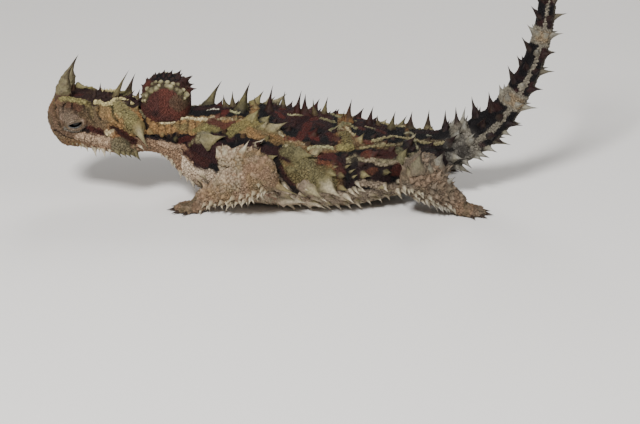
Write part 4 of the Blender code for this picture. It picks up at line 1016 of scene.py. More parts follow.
def unwrap(where):
    """The hide laid flat: the trunk as a strip, along by round, and hump and legs in tiles of their own."""
    turned = ((where["turn"] + 180) % 360) / 360
    flat = np.stack([0.01 + 0.98 * where["s"] / trunk.length, 0.02 + 0.56 * turned], axis=-1)
    on_leg = where["kind"] >= FORE
    leg = np.stack([0.22 + 0.19 * where["owner"] + 0.058 * where["s"], 0.62 + 0.34 * turned], axis=-1)
    flat = np.where(on_leg[:, None], leg, flat)
    hump = np.stack([0.02 + 0.16 * turned, 0.62 + 0.34 * (where["s"] - 25) / 20], axis=-1)
    return np.where((where["kind"] == HUMP)[:, None], hump, flat)


def coat(name, roots, made, colours, finish, slot):
    """A joined piece of thorns or scales, each one's unwrap a patch 3 thousandths across at its root."""
    points, faces, owner, _ = made
    points[:, 2] = np.maximum(points[:, 2], 0.0)
    local = points - roots[owner]
    patch = local[:, :2] / (np.abs(local).max() + 1e-9) * 0.0015
    bake = np.clip(unwrap(body_map(roots))[owner] + patch, 0, 1)
    return fill(name, points, faces, finish, slot, (), colours, bake)


rows = np.random.default_rng(21)
roots, normals, ways, lengths, radii, tones = [], [], [], [], [], []


def keep(*values):
    """Adds thorns to the six lists."""
    for store, value in zip((roots, normals, ways, lengths, radii, tones), values):
        store.append(value)


def plant(flesh, at, turn, length, radius, lean, tone):
    """Adds thorns on a length of flesh to the lists, each leaning to the rear by some degrees."""
    at, turn, length, radius, lean, tone = np.broadcast_arrays(*(
        np.atleast_1d(np.asarray(v, float)) for v in (at, turn, length, radius, lean, tone)))
    here, normal, lie = flesh.roots(at, turn)
    way = unit(normal + lie * np.tan(np.radians(lean))[:, None])
    keep(here, normal, way, length, radius, tone)


# Spines read off the photograph: base pixel, tip pixel, radius of the base in mm, and tone: 0 is dark red,
# 1 cream, above 1 as the hide, and below 0 after the marking that it stands on. The first table and the last
# are repeated on the right, and the others stand on the left side only.
SPINES = (
    ((65, 79), (63, 72), 0.7, 0.7), ((79, 85), (90, 88), 1.2, 0.9), ((100, 91), (100, 82), 0.5, 0.0),
    ((104, 93), (104, 87), 0.5, 0.0), ((115, 98), (127, 69), 1.1, 0.85), ((128, 94), (133, 72), 1.5, 0.1),
    ((130, 96), (131, 88), 0.5, 1.0), ((137, 97), (139, 88), 0.8, 0.0),
    ((136, 110), (139, 104), 0.9, 0.7), ((138, 128), (147, 150), 1.9, 0.95),
    ((264, 122), (271, 114), 1.6, 0.85), ((272, 130), (286, 122), 2.1, 0.95),
    ((252, 120), (260, 107), 1.9, 0.85), ((208, 141), (226, 135), 2.4, 0.88),
    ((269, 112), (270, 85), 1.5, 0.0), ((283, 109), (283, 91), 1.4, 0.6),
    ((297, 114), (299, 90), 1.4, 0.0), ((305, 116), (303, 94), 1.9, 0.0),
    ((315, 116), (311, 99), 1.1, 0.65), ((324, 115), (326, 96), 1.3, 0.75),
    ((343, 122), (343, 110), 0.8, 0.2), ((348, 122), (349, 99), 1.7, 0.0),
    ((369, 125), (371, 106), 1.6, 0.0), ((378, 126), (376, 115), 1.0, 0.7),
    ((391, 130), (393, 111), 1.6, 0.7), ((410, 129), (410, 111), 1.6, 0.0),
    ((428, 128), (427, 109), 1.6, 0.0), ((446, 128), (443, 110), 1.6, 0.3),
    ((458, 123), (453, 107), 1.5, 0.0), ((477, 110), (469, 97), 1.8, 0.05),
    ((456, 138), (459, 126), 1.5, 0.65), ((300, 155), (316, 156), 2.0, 0.6),
    ((330, 173), (338, 177), 1.4, 0.8), ((309, 187), (322, 201), 2.5, 0.95),
    ((326, 185), (339, 199), 2.6, 0.97), ((285, 198), (305, 204), 2.1, 1.0),
    ((312, 201), (325, 210), 1.6, 1.0), ((345, 194), (353, 205), 1.2, 1.0),
    ((350, 190), (356, 198), 0.8, 1.0), ((354, 188), (359, 196), 0.7, 1.0),
    ((357, 183), (361, 190), 0.7, 1.0), ((290, 204), (295, 211), 0.7, 1.0),
    ((305, 205), (310, 210), 0.8, 1.0), ((320, 197), (327, 203), 0.9, 1.0),
    ((384, 186), (387, 193), 1.0, 1.0), ((397, 189), (400, 197), 1.1, 1.0),
    ((405, 188), (405, 194), 0.8, 1.0), ((276, 185), (300, 199), 1.1, 0.85),
    ((350, 172), (356, 168), 0.5, 0.9), ((346, 167), (351, 164), 0.5, 0.9),
    ((353, 177), (358, 174), 0.5, 0.9), ((334, 167), (339, 166), 0.6, 0.8),
    ((402, 158), (407, 146), 1.8, 0.6), ((468, 141), (474, 132), 1.0, 0.9),
)
LONE_SPINES = (
    ((208, 106), (219, 79), 1.9, 0.6), ((241, 112), (247, 82), 2.5, 0.7),
    ((226, 108), (222, 95), 1.4, 0.6), ((233, 107), (231, 91), 1.2, 0.75),
    ((256, 110), (253, 97), 1.2, 0.75),
)
LIMB_SPINES = (
    ((256, 146), (264, 138), 1.4, 1.0), ((243, 152), (248, 140), 1.3, 1.0),
    ((219, 155), (215, 147), 1.0, 1.0), ((226, 154), (221, 144), 1.3, 1.0),
    ((270, 158), (278, 155), 1.0, 0.9), ((234, 153), (236, 146), 0.7, 1.0),
    ((417, 168), (419, 150), 2.3, 0.6), ((436, 167), (442, 150), 2.5, 0.65),
    ((410, 173), (405, 165), 1.1, 0.8), ((430, 170), (428, 160), 1.0, 0.7),
    ((448, 182), (455, 176), 0.9, 0.8), ((446, 170), (453, 164), 0.9, 1.1),
    ((424, 168), (424, 162), 0.8, 1.1), ((405, 169), (399, 164), 0.8, 1.1),
    ((421, 177), (419, 171), 0.8, 1.1), ((428, 180), (429, 173), 0.8, 1.1),
    ((438, 176), (441, 169), 0.8, 1.1), ((412, 181), (408, 176), 0.8, 1.1),
    ((424, 185), (422, 179), 0.7, 1.1), ((434, 187), (437, 181), 0.8, 1.1),
    ((404, 178), (399, 174), 0.7, 1.1), ((441, 186), (446, 181), 0.8, 1.1),
)


# Teeth along an edge: jaw, tail, cheek flap, chest, arm, belly fringe and hind leg.
EDGE_SPINES = (
    ((86, 142), (87, 149), 0.8, 1.0), ((94, 142), (95, 153), 1.1, 1.0), ((99, 142), (99, 149), 0.8, 1.0),
    ((103, 142), (104, 153), 1.1, 1.0), ((110, 143), (110, 149), 0.8, 1.0),
    ((81, 141), (81, 146), 0.7, 1.0), ((461, 157), (468, 166), 1.2, 0.75),
    ((453, 162), (459, 170), 1.2, 0.75), ((472, 152), (480, 160), 1.3, 0.75),
    ((481, 143), (491, 150), 1.4, 0.85), ((492, 135), (499, 141), 1.1, 0.2),
    ((499, 128), (507, 134), 1.1, 0.85), ((114, 144), (118, 152), 1.0, 0.6),
    ((119, 145), (123, 152), 1.0, 0.6), ((124, 146), (128, 153), 1.1, 0.6),
    ((129, 147), (133, 154), 1.1, 0.6), ((132, 147), (138, 158), 1.5, 0.6),
    ((160, 146), (161, 152), 0.6, 1.0), ((167, 148), (167, 154), 0.7, 1.0),
    ((172, 150), (172, 159), 0.9, 1.0), ((177, 154), (176, 160), 0.7, 1.0),
    ((182, 160), (181, 170), 0.9, 1.0), ((187, 166), (187, 173), 0.7, 1.0),
    ((192, 172), (193, 182), 0.9, 1.0), ((257, 180), (259, 187), 0.8, 1.0),
    ((249, 186), (251, 194), 0.9, 1.0), ((244, 188), (245, 194), 0.6, 1.0),
    ((239, 190), (240, 197), 0.8, 1.0), ((230, 192), (231, 199), 0.8, 1.0),
    ((225, 194), (226, 200), 0.6, 1.0), ((220, 195), (221, 202), 0.7, 1.0),
    ((215, 196), (215, 202), 0.6, 1.0), ((209, 197), (209, 203), 0.6, 1.0),
    ((203, 197), (202, 202), 0.5, 1.0), ((263, 196), (262, 203), 0.8, 1.0),
    ((270, 198), (270, 205), 0.9, 1.0), ((277, 199), (278, 206), 0.7, 1.0),
    ((287, 199), (293, 208), 1.1, 1.0), ((297, 200), (300, 206), 0.7, 1.0),
    ((305, 200), (310, 208), 1.0, 1.0), ((314, 199), (318, 206), 0.8, 1.0),
    ((321, 198), (327, 206), 1.0, 1.0), ((332, 196), (337, 204), 0.9, 1.0),
    ((341, 194), (346, 202), 0.9, 1.0), ((352, 193), (357, 202), 0.9, 1.0),
    ((364, 190), (367, 197), 0.8, 1.0), ((375, 188), (378, 195), 0.8, 1.0),
    ((385, 186), (387, 193), 0.9, 1.0), ((397, 188), (400, 197), 1.1, 1.0),
    ((404, 190), (406, 196), 0.8, 1.0), ((413, 190), (416, 197), 0.9, 1.0),
    ((420, 192), (422, 198), 0.7, 1.0), ((425, 193), (427, 200), 0.9, 1.0),
    ((431, 194), (433, 200), 0.7, 1.0), ((436, 195), (438, 202), 0.8, 1.0),
    ((441, 197), (443, 203), 0.8, 1.0), ((447, 199), (448, 205), 0.6, 1.0),
)


EDGE_SEARCH = (-8, 26)
EDGE_DROP = 1.5
EDGE_INSET = 1.6
MIRROR = np.array((1.0, -1.0, 1.0))
MIRROR_GAP = 2.0
DROP_LIMIT = 14


def finest_way(root, normal, base, tip):
    """The vector from a root to a tip seen at another pixel: right and up from the two pixels, and the depth
    that turns it least from the normal, c = nf·(a² + b²) / (a·nr + b·nu), below 0.9 of the length seen."""
    scale = np.dot(root - CAMERA_AT, FORWARD) / DISTANCE / PIXELS_PER_MM
    a, b = (tip[0] - base[0]) * scale, (base[1] - tip[1]) * scale
    flat = math.hypot(a, b)
    lined = a * normal[0] + b * (normal @ RISE)
    depth = (normal @ FORWARD) * flat**2 / lined if lined > 0.15 * flat else -0.5 * flat
    return np.array((a, 0, 0)) + RISE * b + FORWARD * np.clip(depth, -0.9 * flat, 0.9 * flat)


def edge_of(base, tip):
    """The step in pixels from the base, on the way to the tip, to where the hide ends or falls back."""
    step = unit(np.array(tip, float) - base)
    last = None
    for k in range(*EDGE_SEARCH):
        place = seen(base + step * k)
        far = math.inf if place is None else np.linalg.norm(place - CAMERA_AT)
        if last is not None and far > np.linalg.norm(last - CAMERA_AT) + EDGE_DROP:
            return step * (k - EDGE_INSET) if k > 0 or place is None else step * 0
        last = place
    return step * 0


def smooth_normal(place):
    """The nearest triangle's three point normals, averaged."""
    _, _, face, _ = skin_tree.find_nearest(Vector(place))
    return unit(skin_normals[skin_faces[face]].mean(axis=0))


def pin(place, vector, radius, tone):
    """Adds one thorn at a place, of the vector's direction and length."""
    length = float(np.linalg.norm(vector))
    keep(*(np.array(v)[None] for v in (place, smooth_normal(place), vector / length, length, radius, tone)))


skin_tree = BVHTree.FromPolygons(skin_points.tolist(), skin_faces.tolist())
for table in (SPINES, LONE_SPINES, LIMB_SPINES, EDGE_SPINES):
    for base, tip, radius, tone in table:
        if table is EDGE_SPINES:
            shift = edge_of(base, tip)
            base, tip = base + shift, tip + shift
        drop = next((k for k in range(DROP_LIMIT) if seen((base[0], base[1] + k)) is not None), None)
        if drop is None:
            continue
        base = (base[0], base[1] + drop)
        root = seen(base)
        vector = finest_way(root, smooth_normal(root), base, tip)
        pin(root, vector, radius, tone)
        if table in (SPINES, EDGE_SPINES) and root[1] < -1.0:
            size = rows.uniform(0.85, 1.1)
            opposite = root * MIRROR + np.array((rows.uniform(-0.8, 0.8), 0, 0))
            across, _, _, gap = skin_tree.find_nearest(Vector(opposite))
            if gap < MIRROR_GAP:
                vector = vector * MIRROR * size + rows.uniform(-0.4, 0.4, 3)
                pin(np.array(across), vector, radius * size, tone)

# Rows of thorns along both sides of the trunk, alternately long and short: start, end, angle round it,
# count, length, radius, lean, tone, the size at the end, and the size of the short ones, both as shares.
ROWS = (
    (NECK_AT + 1, TORSO_AT, 84.0, 4, 2.0, 0.9, 25.0, 0.6, 1.0, 0.75),
    (TORSO_AT + 1, TAIL_AT - 1, 22.0, 12, 2.2, 1.0, 16.0, -2.0, 0.9, 0.7),
    (TORSO_AT + 14, TAIL_AT - 1, 34.0, 8, 3.8, 1.6, 16.0, -2.0, 0.8, 0.6),
    (TORSO_AT + 4, TAIL_AT - 1, 47.0, 11, 2.2, 1.0, 18.0, -2.0, 0.9, 0.7),
    (TORSO_AT + 12, TAIL_AT - 1, 57.0, 7, 3.4, 1.5, 20.0, -2.0, 0.85, 0.6),
    (TORSO_AT + 1, TAIL_AT - 1, 69.0, 10, 1.9, 0.9, 24.0, -2.0, 0.9, 0.7),
    (TORSO_AT + 16, TAIL_AT - 1, 84.0, 8, 3.6, 1.5, 24.0, 0.8, 0.9, 0.68),
    (TORSO_AT + 6, TAIL_AT - 1, 102.0, 12, 3.0, 1.1, 34.0, 1.0, 0.9, 0.72),
    (TORSO_AT + 1, TAIL_AT - 1, 116.0, 18, 3.2, 0.95, 52.0, 1.0, 0.9, 0.75),
    (TORSO_AT + 1, TAIL_AT - 1, 126.0, 18, 2.6, 0.85, 55.0, 1.0, 0.9, 0.75),
    (TORSO_AT + 1, TAIL_AT - 1, 138.0, 16, 2.0, 0.75, 58.0, 1.0, 0.9, 0.8),
    (TORSO_AT + 1, TAIL_AT - 1, 154.0, 15, 1.2, 0.7, 60.0, 1.0, 0.9, 0.8),
    (18.5, 24.0, 16.0, 2, 2.6, 0.9, 8.0, 0.1, 1.0, 0.8),
    (15.0, 24.0, 70.0, 4, 1.6, 0.7, 35.0, 0.8, 1.0, 0.75),
    (17.5, 26.0, 124.0, 5, 1.8, 0.7, 30.0, 0.9, 1.0, 0.75),
    (6.0, 19.0, 134.0, 9, 1.3, 0.5, 20.0, 1.0, 1.0, 0.75),
    (10.5, 23.0, 8.0, 5, 1.5, 0.7, 15.0, 0.05, 1.0, 0.75),
    (2.2, 6.0, 30.0, 2, 1.4, 0.7, -10.0, 0.5, 1.0, 0.75),
)
for start, end, turn, count, length, radius, lean, tone, last, short in ROWS:
    for side in (1, -1):
        f = (np.arange(count) + 0.5) / count
        size = (1 + (last - 1) * f) * np.where(np.arange(count) % 2, short, 1.0)
        size = size * rows.uniform(0.88, 1.12, count)
        at = start + (end - start) * f + rows.uniform(-0.4, 0.4, count)
        angle = side * (turn + rows.uniform(-3, 3, count))
        bend = lean + rows.uniform(-6, 6, count)
        shade = tone if tone < 0 else np.clip(tone + rows.uniform(-0.35, 0.2, count), 0, 1)
        plant(trunk, at, angle, length * size, radius * (0.5 + 0.5 * size), bend, shade)

# Rings of thorns round the tail, shorter and closer towards its tip.
at = TAIL_AT + 1.4
step = 0
while at < trunk.length - 1.0:
    left = (trunk.length - at) / (trunk.length - TAIL_AT)
    whorl = 7 if left > 0.5 else 5
    turn = 360 * (np.arange(whorl) + 0.5 * (step % 2)) / whorl + rows.uniform(-4, 4, whorl)
    tall = (1.7 + 2.9 * left**0.9) * np.where((np.arange(whorl) + step) % 2, 1.0, 0.72)
    plant(trunk, at, turn, tall * rows.uniform(0.88, 1.12, whorl), 0.55 + 0.85 * left, 26.0, -2.0)
    at += 3.7 + 1.6 * left
    step += 1

# Rows of pointed scales along each limb, from its upper side to its lower edge: angle round it, count,
# length, radius, lean and tone. The right limbs, whose spines the photograph doesn't show, have a comb too.
LIMB_ROWS = (
    (4.0, 5, 1.6, 0.8, 14.0, 1.1), (28.0, 6, 1.0, 0.75, 16.0, 1.1), (52.0, 7, 0.8, 0.75, 18.0, 1.1),
    (76.0, 7, 0.8, 0.7, 20.0, 1.1), (100.0, 7, 1.0, 0.7, 24.0, 1.1), (124.0, 9, 1.7, 0.75, 26.0, 1.05),
    (146.0, 9, 1.8, 0.7, 26.0, 1.0),
)
COMB_ROWS = ((94.0, 9, 1.9, 0.75, 16.0, 1.0), (110.0, 10, 2.3, 0.8, 16.0, 1.0))
for name, leg in legs.items():
    share = 0.85 if "hind" in name else 1.0
    for part, start, end in (("upper", 0.3, 0.92), ("lower", 0.12, 0.9)):
        flesh = leg[part]
        _, facing, _ = flesh.roots(np.full(2, flesh.length / 2), np.array((60.0, -60.0)))
        out = 1 if (facing[0, 1] - facing[1, 1]) * LEGS[name][1][1] > 0 else -1
        comb = COMB_ROWS if name.startswith("right") else ()
        for turn, count, length, radius, lean, tone in LIMB_ROWS + comb:
            f = (np.arange(count) + rows.uniform(0.3, 0.7, count)) / count
            big = share * rows.uniform(0.6, 1.4, count)
            at = flesh.length * (start + (end - start) * f)
            angle = out * (turn + rows.uniform(-8, 8, count))
            bend = lean + rows.uniform(-10, 10, count)
            plant(flesh, at, angle, length * big, radius * big**0.5, bend, tone)

# The false head's crest of dark spines and, below it on each side, a broad band of round olive beads: tilt
# from the middle, first and last angle from the front, count, length and radius.
CREST_ROWS = (
    (7.0, 30.0, 150.0, 8, 1.5, 1.05), (20.0, 38.0, 158.0, 8, 0.9, 0.85),
    (29.0, 24.0, 168.0, 11, 0.75, 0.8), (40.0, 22.0, 166.0, 10, 0.68, 0.78),
)
CREST_TILT = 25.0
beads = []
for tilt, first, last, count, length, radius in CREST_ROWS:
    for side in (1, -1):
        arc = np.radians(np.linspace(first, last, count) + rows.uniform(-4, 4, count))
        lift = np.radians(tilt + rows.uniform(-4, 4, count))
        flat = np.cos(lift)
        ball = np.stack([np.cos(arc) * flat, side * np.sin(lift), np.sin(arc) * flat], axis=-1)
        ball /= power_size(ball)
        normal = unit(np.sign(ball) * np.abs(ball) ** (HUMP_POWER - 1) / HUMP_SIZE)
        size = rows.uniform(0.8, 1.15, count) * (1 + 0.9 * (tilt < 10) * bell(np.degrees(arc), 52, 16))
        for k in range(count):
            root = HUMP_CENTRE + ball[k] * HUMP_SIZE
            if tilt < CREST_TILT:
                pin(root, (normal[k] + (0.25, 0, 0)) * length * size[k], radius * size[k] ** 0.5, 0.0)
            else:
                wide = rows.uniform(0.7, 1.15)
                beads.append((root, normal[k], length * size[k] * wide, radius * size[k] * wide))

# Thorns that would leave the solids' box or the floor are shortened, and those that stand inside the hide or
# run into it again are left out.
roots, normals, ways = (np.concatenate(v) for v in (roots, normals, ways))
lengths, radii, tones = (np.concatenate([np.atleast_1d(x) for x in v]) for v in (lengths, radii, tones))
ground = markings(roots, body_map(roots))
tones = np.where(tones < 0, 0.95 * ease(ground.mean(axis=1), 0.035, 0.13), tones)
BURIED = 0.8
LEFT_LIMIT, RIGHT_LIMIT, FLOOR_LIMIT = cad_box[0][1] / MM - 0.6, cad_box[1][1] / MM + 0.6, 0.05
DOWNWARD = -0.05
across_room = np.where(ways[:, 1] < 0, LEFT_LIMIT - roots[:, 1], RIGHT_LIMIT - roots[:, 1]) / ways[:, 1]
fall = (FLOOR_LIMIT - roots[:, 2]) / np.minimum(ways[:, 2], DOWNWARD)
down_room = np.where(ways[:, 2] < DOWNWARD, fall, 99.0)
lengths = np.clip(np.minimum(across_room, down_room), 0.2, lengths)
clear = np.ones(len(roots), bool)
for k, (root, normal, way, length) in enumerate(zip(roots, normals, ways, lengths)):
    blocked = skin_tree.ray_cast(Vector(root + normal * 0.5), Vector(way), length)[0]
    place, outward, _, _ = skin_tree.find_nearest(Vector(root))
    clear[k] = blocked is None and (Vector(root) - place).dot(outward) > -BURIED
roots, normals, ways = roots[clear], normals[clear], ways[clear]
lengths, radii, tones = lengths[clear], radii[clear], tones[clear]

# Ribbed keratin: dull horn with fine fibres, a little lighter and darker along them, rough to the touch.
keratin, tree, shader = new_finish("ribbed_keratin", 0.66, 0.22)
coords = add(tree, "TexCoord").outputs["Object"]
fibre = add(tree, "TexNoise", {"Vector": coords, "Scale": 1900.0, "Detail": 3.0, "Roughness": 0.6})
vary = add(tree, "MapRange", {"Value": fibre.outputs["Fac"], "From Min": 0.3, "From Max": 0.7,
                              "To Min": 0.42, "To Max": 0.88})
marked(tree, shader, vary.outputs[0], fibre.outputs["Fac"], 0.00025)


def thorn_colours(roots, ways, tones, made):
    """The hide's colour at the foot, dark red, olive or cream as the tone says above it, with a dark tip and
    painted shade on the rear side."""
    points, _, owner, share = made
    ground = markings(roots, body_map(roots))[owner]
    tone = tones[owner]
    cloud = mottle(points, 0.9, 2)
    up = ease(share + 0.5 * (cloud - 0.5), -0.05, 0.4)
    bare = 1 - ease(tone, 1.0, 1.1)
    behind = ease(roots[owner, 0], 24, 38)
    colours = lay(
        ground,
        (up * (1 - ease(tone, 0.2, 0.5)) * 0.8, "351815"),
        (up * (1 - ease(tone, 0.2, 0.5)) * behind * 0.6, "1a1013"),
        (up * ease(tone, 0.3, 0.6) * bare * 0.7, "7d754e"),
        (up * ease(tone, 0.7, 0.9) * bare * 0.7, "a1966b"),
        (up * ease(tone, 0.93, 1.0) * bare * 0.8, "e0d2b8"),
        (up * ease(tone, 0.35, 0.7) * bare * behind * 0.85, "9d9a91"),
    ) * (1 + 0.4 * up * (1 - bare))[:, None]
    away = points - roots[owner]
    rear = unit(away - ways[owner] * (np.sum(away * ways[owner], axis=1))[:, None])[:, 0]
    pale = ease(tone, 0.8, 1.0)
    return lay(
        colours,
        (ease(cloud, 0.5, 0.7) * 0.35, "4a4030"),
        # Painted shade down each thorn's rear side.
        (ease(rear, 0.1, 0.9) * ease(share, 0.15, 0.5) * (0.75 - 0.65 * pale), "2a1a15"),
        (ease(share, 0.5, 0.95) * (0.9 - 0.65 * pale), "1c110e"),
    )


LARGE_LENGTH, LARGE_RADIUS = 2.9, 1.25
large = (lengths > LARGE_LENGTH) & (radii > LARGE_RADIUS)
for name, some, detail in (
    ("large_thorns", large, {"sides": 14, "rings": 14, "ribs": 5, "rough": 0.2}),
    ("small_thorns", ~large, {"sides": 8, "rings": 4, "rough": 0.12}),
):
    feet = roots[some]
    made = thorns(feet, normals[some], ways[some], lengths[some], radii[some], slim=3.2, hook=0.12, **detail)
    coat(name, feet, made, thorn_colours(feet, ways[some], tones[some], made), keratin, "horn")
spots, outward, tall, wide = (np.array(v) for v in zip(*beads))
made = thorns(spots, outward, outward, tall, wide, sides=10, rings=6, slim=0.45, hook=0.3, rough=0.35)
colours = lay(
    plain(made[0], "776f4d"),
    (ease(made[3], 0.1, 0.7) * rows.uniform(0.5, 1.0, len(spots))[made[2]], "bdb38d"),
    (ease(mottle(made[0], 1.6), 0.5, 0.65) * 0.6, "4c4530"),
)
coat("hump_beads", spots, made, colours, keratin, "horn")

# The soft, swollen foot of each larger thorn: the hide rises as a low cone round its root. The hide's colour
# then gets a painted highlight on its raised parts and painted shade in its creases, and the hide is thinned
# to under 200,000 triangles.
HIDE_PARTS = 40
RELIEF_REACH = 16
HIDE_KEPT = 0.65
for part in np.array_split(np.arange(len(skin_points)), HIDE_PARTS):
    near = np.linalg.norm(skin_points[part][:, None] - roots[None], axis=2)
    rise = np.where(radii > 1.0, 0.42 * radii, 0.0) * np.clip(1 - near / (radii * 2.0 + 0.4), 0, 1) ** 2
    skin_points[part] += skin_normals[part] * rise.max(axis=1)[:, None]

skin_points[:, 2] = np.maximum(skin_points[:, 2], 0.0)
skin_normals = normals_of(skin_points, skin_faces)
level = smoothed(skin_points, skin_edges, RELIEF_REACH)
relief = np.sum((skin_points - level) * skin_normals, axis=1)
# Painted highlight on the hide's raised parts and painted shade in its creases, damped round the eyes.
shading = 0.25 * ease(relief, 0.02, 0.2) - 0.6 * ease(-relief, 0.01, 0.16)
skin_colours = markings(skin_points, skin_map) * (1 + shading * (1 - 0.85 * relief_shade_damping))[:, None]
skin_colours = np.clip(skin_colours, 0, 1)
flesh_nodes = [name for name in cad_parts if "eye" not in name and "horn" not in name]
skin = fill("skin", skin_points, skin_faces, hide, "skin", flesh_nodes, skin_colours)
thin = skin.modifiers.new("thin", "DECIMATE")
thin.ratio = HIDE_KEPT

# The small scales: thousands of low, pointed pebbles set close over the hide, each darker at its foot and
# lighter towards its top as painted shade and light, and finer grains between them. Each kind is cut from
# snout to tail into pieces of a size that can be baked.
PEBBLE_HOPS, GRAIN_HOPS = 3, 1
PEBBLE_PIECES, GRAIN_PIECES = 3, 5


def spread(hops, seed):
    """Points of the skin about some edges apart: the lowest of random numbers within reach is kept and its
    neighbours dropped, again and again till none is left."""
    rank = np.random.default_rng(seed).random(len(skin_points))
    open_ones = np.ones(len(skin_points), bool)
    kept = np.zeros(len(skin_points), bool)
    a, b = skin_edges.T
    while open_ones.any():
        low = np.where(open_ones, rank, 2.0)
        for _ in range(hops):
            nxt = low.copy()
            np.minimum.at(nxt, a, low[b])
            np.minimum.at(nxt, b, low[a])
            low = nxt
        chosen = open_ones & (rank == low)
        kept |= chosen
        reach = chosen.copy()
        for _ in range(hops):
            nxt = reach.copy()
            nxt[a] |= reach[b]
            nxt[b] |= reach[a]
            reach = nxt
        open_ones &= ~reach
    return np.flatnonzero(kept)


pebbles = spread(PEBBLE_HOPS, 8)
light = skin_colours[pebbles].mean(axis=1)
kind = skin_map["kind"][pebbles]
kept = (skin_points[pebbles, 2] > 0.5) & ((light > 0.06) | (kind >= FORE)) & (kind != HUMP)
pebbles, light, kind = pebbles[kept], light[kept], kind[kept]
x, _, z = skin_points[pebbles].T
shoulder = (kind == FORE) * ease(-12 - x, 0, 5) * ease(z, 7, 10)
size = rows.uniform(0.3, 1.0, len(pebbles)) * np.where(kind >= FORE, 0.8, 0.5 + 0.4 * ease(light, 0.03, 0.2))
size = size * (1 + 0.9 * shoulder)
bright = rows.uniform(0.7, 1.15, len(pebbles))
for number, some in enumerate(np.array_split(np.argsort(x), PEBBLE_PIECES)):
    spots, up = skin_points[pebbles[some]], skin_normals[pebbles[some]]
    half = 0.6 * size[some]
    made = thorns(spots, up, unit(up + 0.45 * rearward(up)), half, half, rings=3, slim=0.5)
    pale = (0.4 * shoulder[some])[made[2]] * ease(made[3], 0, 0.5)
    colours = lay(skin_colours[pebbles[some]][made[2]], (pale, "d6c6ab"))
    # Painted shade at each pebble's foot and painted light towards its top.
    colours = colours * (bright[some][made[2]] * (0.65 + 0.5 * made[3]))[:, None]
    coat(f"pebbles_{number + 1}", spots, made, np.clip(colours, 0, 1), keratin, "skin")


def fine_scales(name, spots, up, tint, half, sizes, lights):
    """A piece of fine scales: low, five-sided cones, about as high and half as wide as one size in mm, each
    with its size and its lightness varied between two shares."""
    size = half * rows.uniform(*sizes, len(spots))
    made = thorns(spots, up, unit(up + 0.35 * rearward(up)), size, size)
    light = rows.uniform(*lights, len(spots))[made[2], None]
    coat(name, spots, made, np.clip(tint[made[2]] * light, 0, 1), keratin, "skin")


grains = spread(GRAIN_HOPS, 3)
taken = np.zeros(len(skin_points), bool)
taken[pebbles] = True
beside = taken.copy()
for a, b in (skin_edges.T, skin_edges.T[::-1]):
    np.logical_or.at(beside, a, taken[b])
grains = grains[(skin_points[grains, 2] > 0.4) & ~beside[grains]]
grains = grains[np.argsort(skin_points[grains, 0])]
for number, some in enumerate(np.array_split(grains, GRAIN_PIECES)):
    fine_scales(f"grains_{number + 1}", skin_points[some], skin_normals[some], skin_colours[some],
                0.3, (0.75, 1.25), (0.7, 1.1))
spots, up, tint = (np.concatenate(v) for v in zip(*lid_scales))
fine_scales("lid_scales", spots, up, tint, 0.26, (0.8, 1.3), (0.8, 1.15))

# The brow horns: one over each eye, a broad scaly cone that runs up to a slender, dark, back-curved point.
HORN_FROM = (-60.4, 0.0, 22.5)
HORN_APART = 0.62
HORN_SPLAY = 0.16
HORN_BASE = 1.95
HORN_LENGTH = 8.0
HORN_SWEEP = 0.36
HORN_SHARES = (-0.2, 0.0, 0.15, 0.28, 0.4, 0.52, 0.64, 0.8, 1.0)
HORN_SIZES = (1.12, 1.02, 1.0, 0.88, 0.62, 0.38, 0.24, 0.13, 0.0)
HORN_RINGS, HORN_SIDES = 48, 24
HORN_RIBS = 7

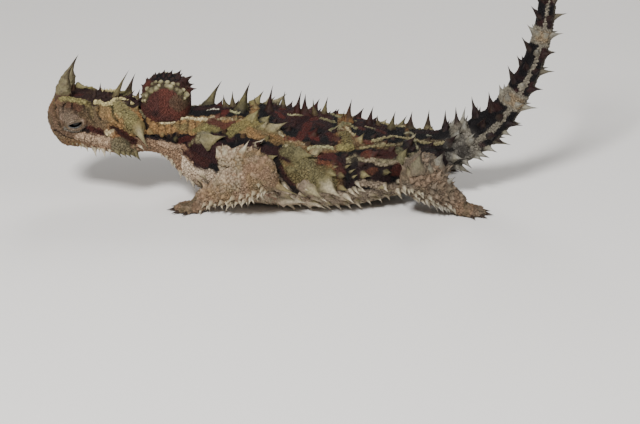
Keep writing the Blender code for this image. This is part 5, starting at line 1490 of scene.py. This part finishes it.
for label, side in (("left", -1), ("right", 1)):
    way = unit(np.array((0.05, side * HORN_SPLAY, 1.0)))
    foot = hit(HORN_FROM, unit(np.array((0.0, side * HORN_APART, 1.0)))) + way * 0.6
    across = unit(np.cross(way, (1.0, 0, 0)))
    level = np.cross(across, way)
    f, turn = round_grid(np.linspace(-0.25, 0.995, HORN_RINGS), HORN_SIDES)
    size = np.interp(f, HORN_SHARES, HORN_SIZES) * HORN_BASE
    size = size * (1 + 0.06 * np.cos(turn * HORN_RIBS) * (f < 0.8))
    sweep = HORN_SWEEP * HORN_LENGTH * np.clip(f, 0, 1) ** 1.8
    middle = foot + way * (HORN_LENGTH * f)[:, None] + np.array((1.0, 0, 0)) * sweep[:, None]
    ring = level * np.cos(turn)[:, None] + across * np.sin(turn)[:, None]
    points = middle + ring * size[:, None]
    lump = (mottle(points, 1.0, 2) - 0.5) * ease(0.7 - f, 0, 0.4)
    points, faces = closed_grid(points + ring * (0.9 * lump)[:, None], HORN_RINGS, HORN_SIDES)
    colours = lay(
        plain(points, "867d5e"),
        (ease(mottle(points, 1.0, 2), 0.45, 0.6) * 0.7, "615541"),
        (ease(mottle(points + 9, 0.9, 2), 0.55, 0.7) * 0.5, "958d68"),
        (ease(f, 0.45, 0.85) * 0.9, "2a1c17"),
        # Painted shade down the horn's rear side.
        (ease(np.cos(turn), 0.3, 0.9) * ease(f, 0.15, 0.4) * 0.6, "33241b"),
        (ease(0.1 - f, 0, 0.12) * 0.8, "46211b"),
    )
    fill(f"{label}_horn", points, faces, keratin, "horn", (f"{label}_brow_horn",), colours)

# The claws: twenty short, dark, curved points of keratin, one on each digit.
CLAW_LENGTH = 2.5
CLAW_RADIUS = 0.5
CLAW_AT = 0.45
CLAW_UP = 0.75
spots, leads = [], []
for leg in legs.values():
    for _, end, way in leg["digits"]:
        spots.append((*(end - way * CLAW_AT)[:2], CLAW_UP))
        leads.append(way)
spots, leads = np.array(spots), np.array(leads)
down = unit(leads + np.array((0, 0, -0.12)))
up = np.tile((0.0, 0.0, 1.0), (len(spots), 1))
tall, wide = np.full(len(spots), CLAW_LENGTH), np.full(len(spots), CLAW_RADIUS)
made = thorns(spots, up, down, tall, wide, sides=8, rings=6, slim=1.2, hook=0.0)
colours = lay(plain(made[0], "3a2a20"), (ease(made[3], 0.4, 1.0) * 0.7, "140d0a"))
coat("claws", spots, made, colours, keratin, "horn")

# The stage: a plain pale floor of matt paper, a key lamp, two weaker ones and a dim room.
floor, floor_mesh = put("floor", [(-3, -3, 0), (3, -3, 0), (3, 3, 0), (-3, 3, 0)], [(0, 1, 2, 3)])
matt, tree, shader = new_finish("matt_paper", 0.8, 0.2)
shader.inputs["Base Color"].default_value = (*paint("f1eeea"), 1)
floor_mesh.materials.append(matt)

for name, place, power, size in (
    ("key", (-0.16, -0.5, 0.5), 7.0, 0.14),
    ("fill", (0.5, -0.3, 0.3), 1.0, 0.4),
    ("back", (0.1, 0.6, 0.5), 2.0, 0.3),
):
    light = bpy.data.lights.new(name, "AREA")
    light.energy = power
    light.size = size
    lamp = bpy.data.objects.new(name, light)
    bpy.context.scene.collection.objects.link(lamp)
    lamp.location = place
    lamp.rotation_euler = (Vector((0, 0, 0.02)) - Vector(place)).to_track_quat("-Z", "Y").to_euler()
world = bpy.data.worlds.new("world")
world.use_nodes = True
world.node_tree.nodes["Background"].inputs[0].default_value = (0.85, 0.83, 0.8, 1)
world.node_tree.nodes["Background"].inputs[1].default_value = 0.22
bpy.context.scene.world = world
